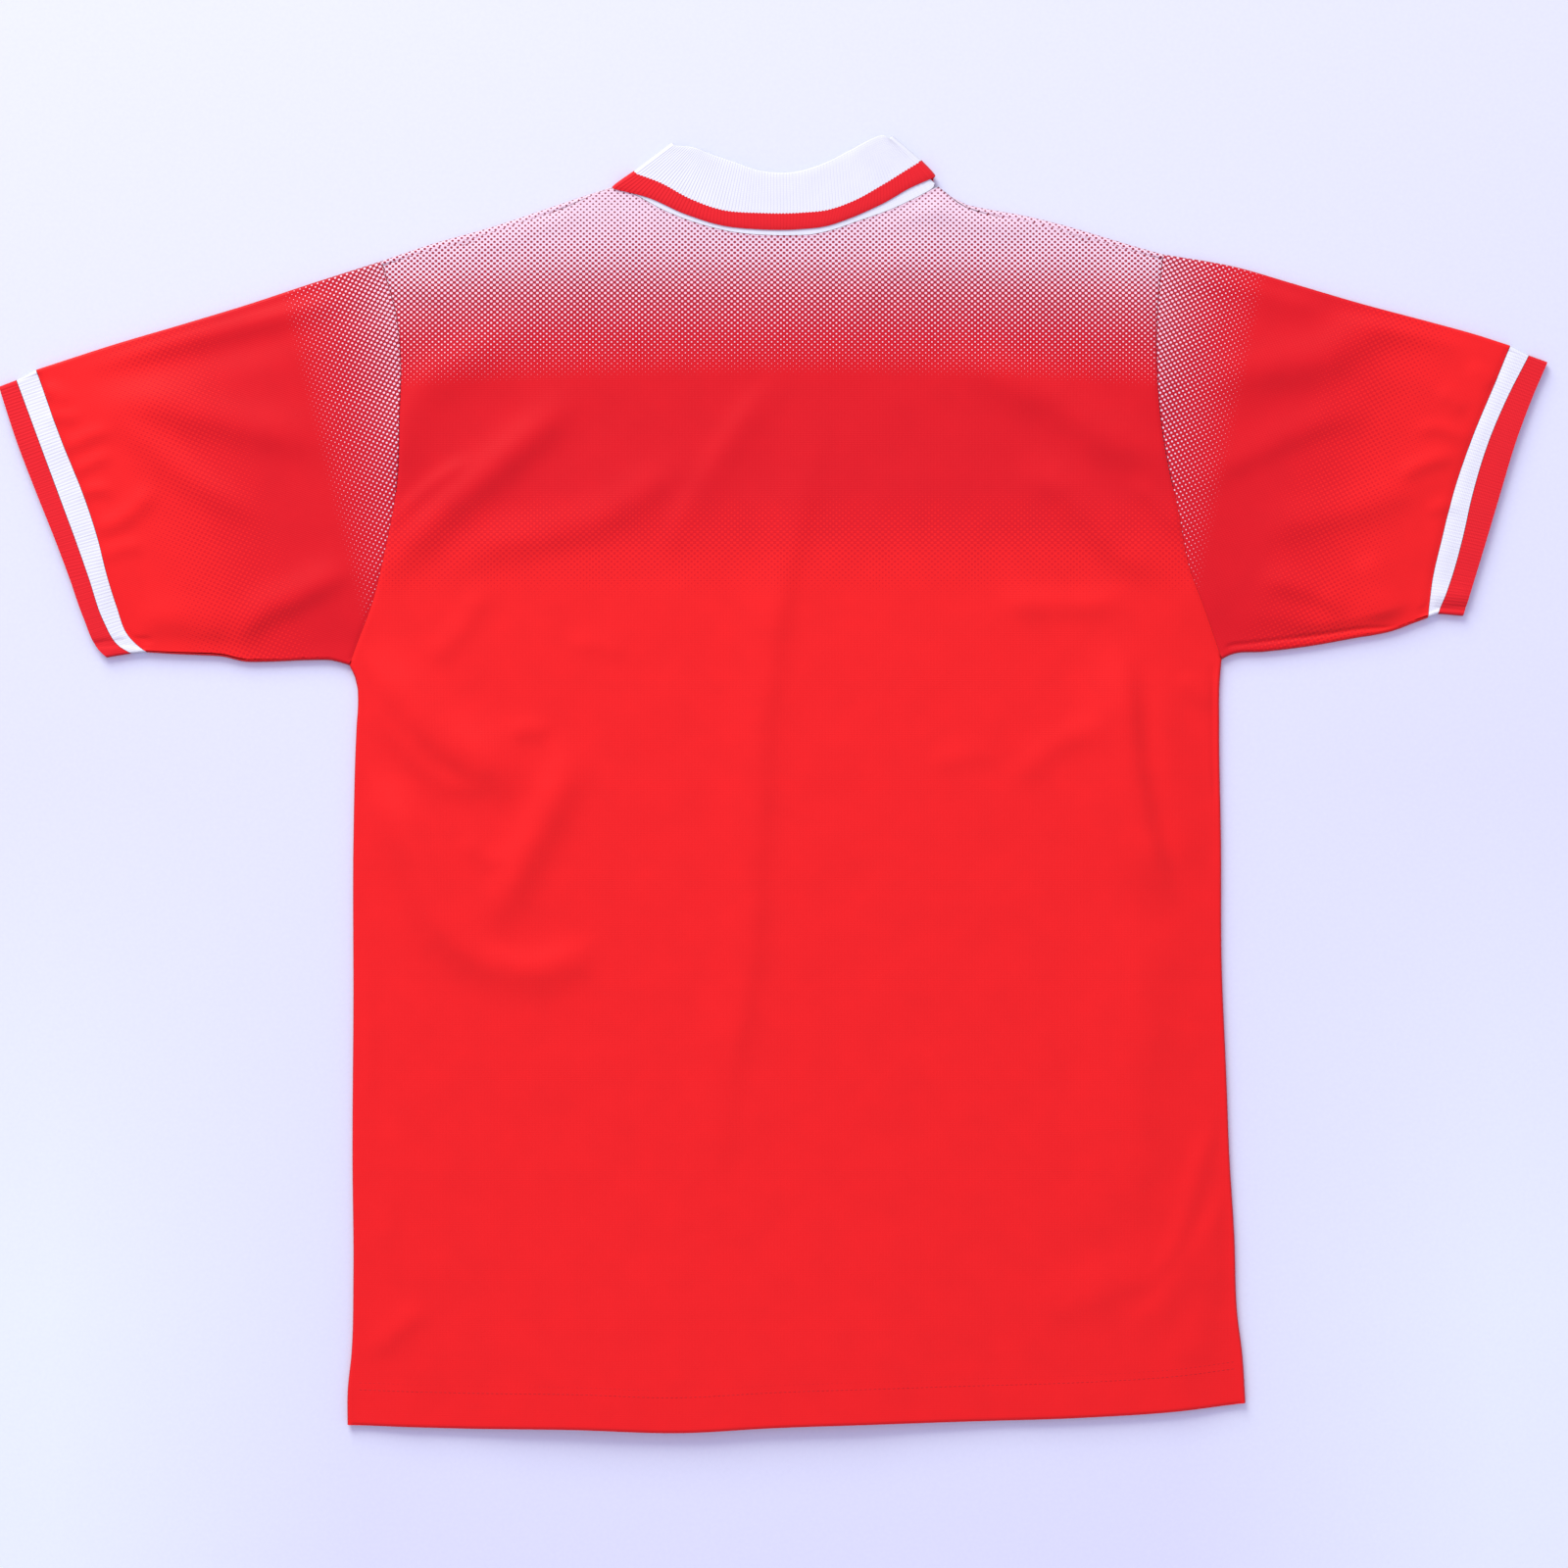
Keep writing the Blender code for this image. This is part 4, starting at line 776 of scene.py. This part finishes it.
SLEEVE_ROWS = np.concatenate([np.linspace(0.008, 0.11, 26), np.linspace(0.12, 0.985, 56)])
SLEEVE_RINGS = 60
ARMHOLE_GAP = 0.1
NARROW_RINGS = np.array([0.002, 0.006, 0.012])
for hand in HANDS:
    length = np.linalg.norm(CUFF_SEAM[hand](0.5) - ARMHOLE[hand](0.5))
    shares = np.unique(np.concatenate([np.linspace(0, 1, SLEEVE_RINGS)[1:-1], NARROW_RINGS,
                                       1 - NARROW_RINGS, [ARMHOLE_GAP / length, 1 - HALF_GAP / length]]))
    sleeve = flat_tube("sleeve_cloth_" + hand, ARMHOLE[hand], CUFF_SEAM[hand], SLEEVE_UNDER[hand],
                       SLEEVE_TOP[hand], shares, SLEEVE_ROWS, WALL, sleeve_cloth, SLEEVE_AXIS[hand],
                       ARMHOLE[hand](1))
    stands_for(sleeve, "sleeve_" + hand, "printed_polyester", flat=(0.50, 0.23), held="laid",
               rests_on=["floor"], area=0.083)

# ======== cuffs
# A double band of rib knit, white with a red outer stripe knitted in one, sewn round the sleeve's
# end.  Its fine ribs run from the seam to the edge.
CUFF_STRIPE = both(
    (-415.5, 493.6, -424.3, 499.2, -433, 514, -442.5, 541.9, -451.3, 566.9, -460.6, 591.9,
     -474.4, 629.4, -488.8, 668.1),
    (416.3, 518.8, 425, 541.9, 431.9, 566.9, 437.5, 591.9, 448.8, 629.4, 459.4, 654.4, 474.4, 683.8))
CUFF_EDGE = both(
    (-431.5, 491.0, -436.5, 496, -446.2, 516.9, -455, 541.9, -464.4, 566.9, -474.4, 591.9,
     -488.8, 629.4, -500, 663.8),
    (432.5, 517.5, 440, 541.9, 447.5, 566.9, 455, 591.9, 466.3, 629.4, 475.6, 654.4, 486.3, 679.4))
RIB_WALL = 1.1
RIB_PITCH = 2.1
RIB_HEIGHT = 0.22
LOOP_PITCH = 1.05 * MM
for hand in HANDS:
    for end in (0, 1):
        edges.append(np.array([curves[hand](end) for curves in (CUFF_SEAM, CUFF_STRIPE, CUFF_EDGE)]))
    low_seams += [(CUFF_LOFT, line_of(curves[hand], 20)) for curves in (CUFF_STRIPE, CUFF_EDGE)]


def rib_knit(name, colour, roughness):
    return cloth_look(name, lambda tree, along, across: colour, LOOP_PITCH, 0.2 * MM, roughness, 0.15)


white_rib = rib_knit("white_rib_knit", (0.90, 0.905, 0.94), 0.8)
red_rib = rib_knit("red_rib_knit", (0.90, 0.015, 0.023), 0.75)


def straight(first, last):
    return lambda s: first + (last - first) * s


for hand in HANDS:
    ribs_along = line_of(CUFF_SEAM[hand], 40)

    def rib_relief(plan):
        _, along = distance_to(plan[..., 0], plan[..., 1], ribs_along)
        turns = along * np.linalg.norm(ribs_along[-1] - ribs_along[0]) / RIB_PITCH
        return RIB_HEIGHT * 0.5 * (np.cos(math.tau * turns) - 1)

    for name, cad_node, first, last, look, slot in (
            ("cuff_knit_", "cuff_", CUFF_SEAM[hand], CUFF_STRIPE[hand], white_rib, "white_knit"),
            ("cuff_stripe_", "cuff_tipping_", CUFF_STRIPE[hand], CUFF_EDGE[hand], red_rib, "red_knit")):
        width = np.linalg.norm(last(0.5) - first(0.5))
        shares = np.linspace(HALF_GAP / width, 1 - HALF_GAP / width, 6)
        cuff = flat_tube(name + hand, first, last, straight(first(0), last(0)),
                         straight(first(1), last(1)), shares, np.linspace(0.012, 0.988, 340),
                         RIB_WALL, look, SLEEVE_AXIS[hand], ARMHOLE[hand](1), rib_relief)
        stands_for(cuff, cad_node + hand, slot, flat=(0.37, 0.014), held="laid", rests_on=["floor"])

# ======== collar
# One flat-knit strip, white with a red stripe along its outer edge, sewn round the neckline and
# folded over along its roll; its two ends meet at the centre front, on the underside.
COLLAR_WALL = 1.0
COLLAR_MIDDLE = 2.65  # height of the plane between its back half and its front half
COLLAR_INNER = 0.35  # the stand's inner face, from that plane
# Columns: fraction of the back neckline from the left neck point to the right one, then x, y of
# the leaf's edge, of the stripe's inner line and of the roll, and how far the roll stands up.
COLLAR_BACK = np.array((
    (0.00, -108.3, 789.2, -94.0, 798.8, -69.5, 817.0, 0.6),
    (0.09, -87.5, 784.0, -79.4, 793.4, -58.0, 816.0, 0.9),
    (0.22, -62.5, 773.1, -58.4, 782.3, -46.0, 811.5, 0.9),
    (0.34, -37.5, 765.6, -37.0, 775.3, -30.0, 806.0, 0.8),
    (0.44, -15.0, 763.5, -15.0, 773.8, -14.0, 800.8, 0.7),
    (0.56, 10.0, 763.6, 11.0, 774.0, 10.0, 800.8, 0.7),
    (0.63, 26.0, 765.4, 28.0, 775.8, 26.0, 806.0, 0.8),
    (0.70, 41.0, 770.2, 44.0, 781.4, 41.0, 813.5, 0.9),
    (0.79, 62.0, 779.5, 62.0, 791.3, 54.0, 820.5, 1.0),
    (0.89, 79.0, 789.2, 77.0, 800.6, 62.0, 823.5, 0.9),
    (1.00, 95.1, 796.4, 85.6, 805.9, 67.0, 821.5, 0.6),
))
COLLAR_SLOPES = np.gradient(COLLAR_BACK, COLLAR_BACK[:, 0], axis=0)
# Columns: place from the neck point to the centre front, then how far the leaf's edge, the
# stripe's inner line and the roll lie from the seam, under the front.
COLLAR_FRONT = np.array(((0.0, 3, 14, 46), (0.3, 3, 14, 42), (1.0, 3, 14, 40)))
COLLAR_END_GAP = 0.6
COLLAR_FOLD_SHIFT = 2.4
STRIPE_TOOTH = 0.3  # each rib's red reaches a little further than its neighbours'
BACK_STATIONS, FRONT_STATIONS, FOLD_STATIONS = 440, 150, 17


def collar_back(f):
    """The leaf's edge, the stripe's inner line, the roll and its lift, on a smooth line."""
    places = COLLAR_BACK[:, 0]
    k = min(int(np.searchsorted(places, f, side="right")) - 1, len(places) - 2)
    step = places[k + 1] - places[k]
    row = hermite((f - places[k]) / step, COLLAR_BACK[k], step * COLLAR_SLOPES[k],
                  COLLAR_BACK[k + 1], step * COLLAR_SLOPES[k + 1])
    return row[1:3], row[3:5], row[5:7], row[7]


def collar_fold(f):
    edge, stripe, roll, lift = collar_back(f)
    along = unit(roll - edge)
    outward = np.array([-along[1], along[0]]) * (1 if f == 0 else -1)
    base = NECK_BACK(f) + along * COLLAR_FOLD_SHIFT - outward * (COLLAR_INNER + COLLAR_WALL)
    return base, edge, stripe, roll, outward, lift


def collar_front(f, hand):
    """The hidden half: f runs from the neck point, 0, to the centre front, 1."""
    fraction, end, away = (f / 2, 0, -1) if hand == "left" else (1 - f / 2, 1, 1)
    seam = NECK_FRONT(fraction)
    ahead = NECK_FRONT(min(fraction + 0.01, 1)) - NECK_FRONT(max(fraction - 0.01, 0))
    across = unit(np.array([-ahead[1], ahead[0]]))
    upward = unit(collar_fold(end)[3] - NECK_BACK(end))
    lean = unit(across * smooth(f * 2.5) + upward * (1 - smooth(f * 2.5)))
    if f == 1:
        seam = seam + (away * COLLAR_END_GAP, 0)
    return seam, *(seam + lean * np.interp(f, COLLAR_FRONT[:, 0], COLLAR_FRONT[:, k]) for k in (1, 2, 3))


# Stations round the neck, from one end at the centre front to the other.
DOWN, OVER = np.array([0, 0, -1.0]), np.array([0, 0, 1.0])
stations = [(*collar_front(f, "left"), DOWN, 0.0) for f in np.linspace(1, 0, FRONT_STATIONS, endpoint=False)]
for end, first in ((0, -90), (1, 90)):
    base, *plans, outward, lift = collar_fold(end)
    for angle in np.radians(np.linspace(first, -first, FOLD_STATIONS)):
        facing = np.array([*(outward * math.cos(angle)), math.sin(angle)])
        stations.append((base, *plans, facing, lift * (1 + math.sin(angle)) / 2))
    if end == 0:
        for f in np.linspace(0, 1, BACK_STATIONS + 1)[1:-1]:
            blend_in = smooth(min(f, 1 - f) / 0.03)
            seam = NECK_BACK(f) * blend_in + (base if f < 0.5 else collar_fold(1)[0]) * (1 - blend_in)
            *plans, lift = collar_back(f)
            stations.append((seam, *plans, OVER, lift))
stations += [(*collar_front(f, "right"), DOWN, 0.0) for f in np.linspace(0, 1, FRONT_STATIONS + 1)[1:]]

half = COLLAR_WALL / 2
stand_level = COLLAR_INNER + half
leaf_level = stand_level + COLLAR_WALL + 2 * HALF_GAP
knit, red_edge = ([], []), ([], [])  # the two strips: their sections, and places in the print
along_collar = 0.0
for k, (seam, edge, stripe, roll, facing, lift) in enumerate(stations):
    if k:
        before = stations[k - 1]
        along_collar += max(np.linalg.norm(stripe - before[2]),
                            leaf_level * np.linalg.norm(facing - before[4]))
    wave = math.cos(math.tau * along_collar / RIB_PITCH)
    # The face that meets the surface has no ribs.
    rib = 0.0 if facing[2] < -0.99 else RIB_HEIGHT * 0.5 * wave
    along = unit(roll - seam)
    stand_up = 0.25 * lift
    turn_radius = (leaf_level + lift - stand_level - stand_up) / 2
    turn_middle = (leaf_level + lift + stand_level + stand_up) / 2
    turn_centre = roll - along * (turn_radius + half)
    start = seam + along * HALF_GAP
    stripe_line = stripe + unit(stripe - edge) * STRIPE_TOOTH * wave
    stripe_start = stripe_line + unit(edge - stripe) * 0.05

    def face(plan, level):
        return np.array([*plan, COLLAR_MIDDLE]) + facing * level

    # Each row: a place on the outside, on the inside, and across the strip.
    white, red = [], []
    for share in np.linspace(0, 1, 7):
        plan, level = start + (turn_centre - start) * share, stand_level + stand_up * smooth(share)
        white.append((face(plan, level - half - rib), face(plan, level + half), -60 + 40 * share))
    for angle in np.radians(np.linspace(-75, 75, 9)):
        outside, inside = (
            face(turn_centre + along * radius * math.cos(angle), turn_middle + radius * math.sin(angle))
            for radius in (turn_radius + half + rib, turn_radius - half))
        white.append((outside, inside, -20 + 5 * math.sin(angle)))
    for share in np.linspace(0, 1, 9):
        plan = turn_centre + (stripe_line - turn_centre) * share
        level = leaf_level + lift * (1 - 0.75 * share)
        white.append((face(plan, level + half + rib), face(plan, level - half), -14 + 30 * share))
    for share, thin in ((0, 0), (0.25, 0), (0.5, 0), (0.75, 0.1), (0.9, 0.3), (1, 0.65)):
        plan, level = stripe_start + (edge - stripe_start) * share, leaf_level + lift * 0.25 * (1 - share)
        red.append((face(plan, level + half - thin + rib), face(plan, level - half), 16 + 11 * share))
    for rows, (sections, places) in ((white, knit), (red, red_edge)):
        outside, inside, across = zip(*rows)
        sections.append(outside + inside[::-1])
        places.append([(along_collar, place) for place in across + across[::-1]])


def swept(name, sections, places, material):
    """A closed wall through closed sections, with its two ends capped."""
    count = len(sections[0])
    faces = [(i * count + j, i * count + (j + 1) % count, (i + 1) * count + (j + 1) % count,
              (i + 1) * count + j) for i in range(len(sections) - 1) for j in range(count)]
    for base in (0, (len(sections) - 1) * count):
        faces += [(base + j, base + j + 1, base + count - 2 - j, base + count - 1 - j)
                  for j in range(count // 2 - 1)]
    return new_piece(name, np.array(sections).reshape(-1, 3), faces, np.array(places).reshape(-1, 2),
                     material, 60)


for name, cad_node, strip, look, slot, cut in (
        ("collar_knit", "collar", knit, white_rib, "white_knit", (0.48, 0.075)),
        ("collar_stripe", "collar_tipping", red_edge, red_rib, "red_knit", (0.46, 0.012))):
    stands_for(swept(name, *strip, look), cad_node, slot, flat=cut, held="folded", rests_on=["back"])

# ======== surface, light and camera
# A pale cloth without pattern lies under the jersey, lit softly from above and behind its collar.  Painted
# light makes it a little lighter towards its two near corners, which leaves a painted shade below the hem;
# its weave shows as a faint grain.
FLOOR_HALF, FLOOR_LEVEL = 3.0, -0.0004
floor_mesh = bpy.data.meshes.new("floor")
floor_mesh.from_pydata([(x * FLOOR_HALF, y * FLOOR_HALF, FLOOR_LEVEL)
                        for x, y in ((-1, -1), (1, -1), (1, 1), (-1, 1))], [], [(0, 1, 2, 3)])
floor = new_object("floor", floor_mesh)
floor_look, tree, shader = new_look("pale_cloth_painted_light")
place = node(tree, "ShaderNodeTexCoord", {})["Object"]
painted_light_across, painted_light_nearer, _ = node(tree, "ShaderNodeSeparateXYZ", {}, place)
# Painted light: near 1 towards the two near corners, where the cloth's colour is painted lighter than the
# painted shade elsewhere.
painted_light_across = maths(tree, "MULTIPLY_ADD", maths(tree, "ABSOLUTE", painted_light_across), 5.0, -1.3, clamp=True)
painted_light_nearer = maths(tree, "MULTIPLY_ADD", painted_light_nearer, -3.0, 0.0, clamp=True)
painted_corner_light = mixed(tree, maths(tree, "MULTIPLY", painted_light_across, painted_light_nearer), (0.85, 0.865, 1.0), (0.93, 0.99, 1.0))
grain = node(tree, "ShaderNodeTexNoise", {}, Vector=place, Scale=450.0, Detail=3.0)[0]
feed(tree, shader, Base_Color=toned(tree, painted_corner_light, maths(tree, "MULTIPLY_ADD", grain, 0.06, 0.97)),
     Roughness=0.9, Specular_IOR_Level=0.1)
floor_mesh.materials.append(floor_look)

world = bpy.data.worlds.new("soft_room")
bpy.context.scene.world = world
world.use_nodes = True
feed(world.node_tree, world.node_tree.nodes["Background"], (0.96, 0.90, 1.25), 0.60)

window = bpy.data.lights.new("window", "AREA")
window.shape = "SQUARE"
window.size = 3.0
window.energy = 228.0
window.color = (0.93, 1.0, 0.9)
lamp = new_object("window", window)
lamp.location = (-1.65, 4.09, 2.35)
lamp.rotation_euler = (-lamp.location).to_track_quat("-Z", "Y").to_euler()

FRAME_WIDTH = 1.0  # what the camera takes in across, at the surface
CAMERA_HEIGHT = 2.0
camera_data = bpy.data.cameras.new("overhead")
camera_data.sensor_width = 36.0
camera_data.lens = camera_data.sensor_width * CAMERA_HEIGHT / FRAME_WIDTH
camera = new_object("overhead", camera_data)
camera.location = (ZERO[0] * MM, (ZERO[1] + 410.6) * MM, CAMERA_HEIGHT)
bpy.context.scene.camera = camera
bpy.context.scene.view_settings.view_transform = "Standard"
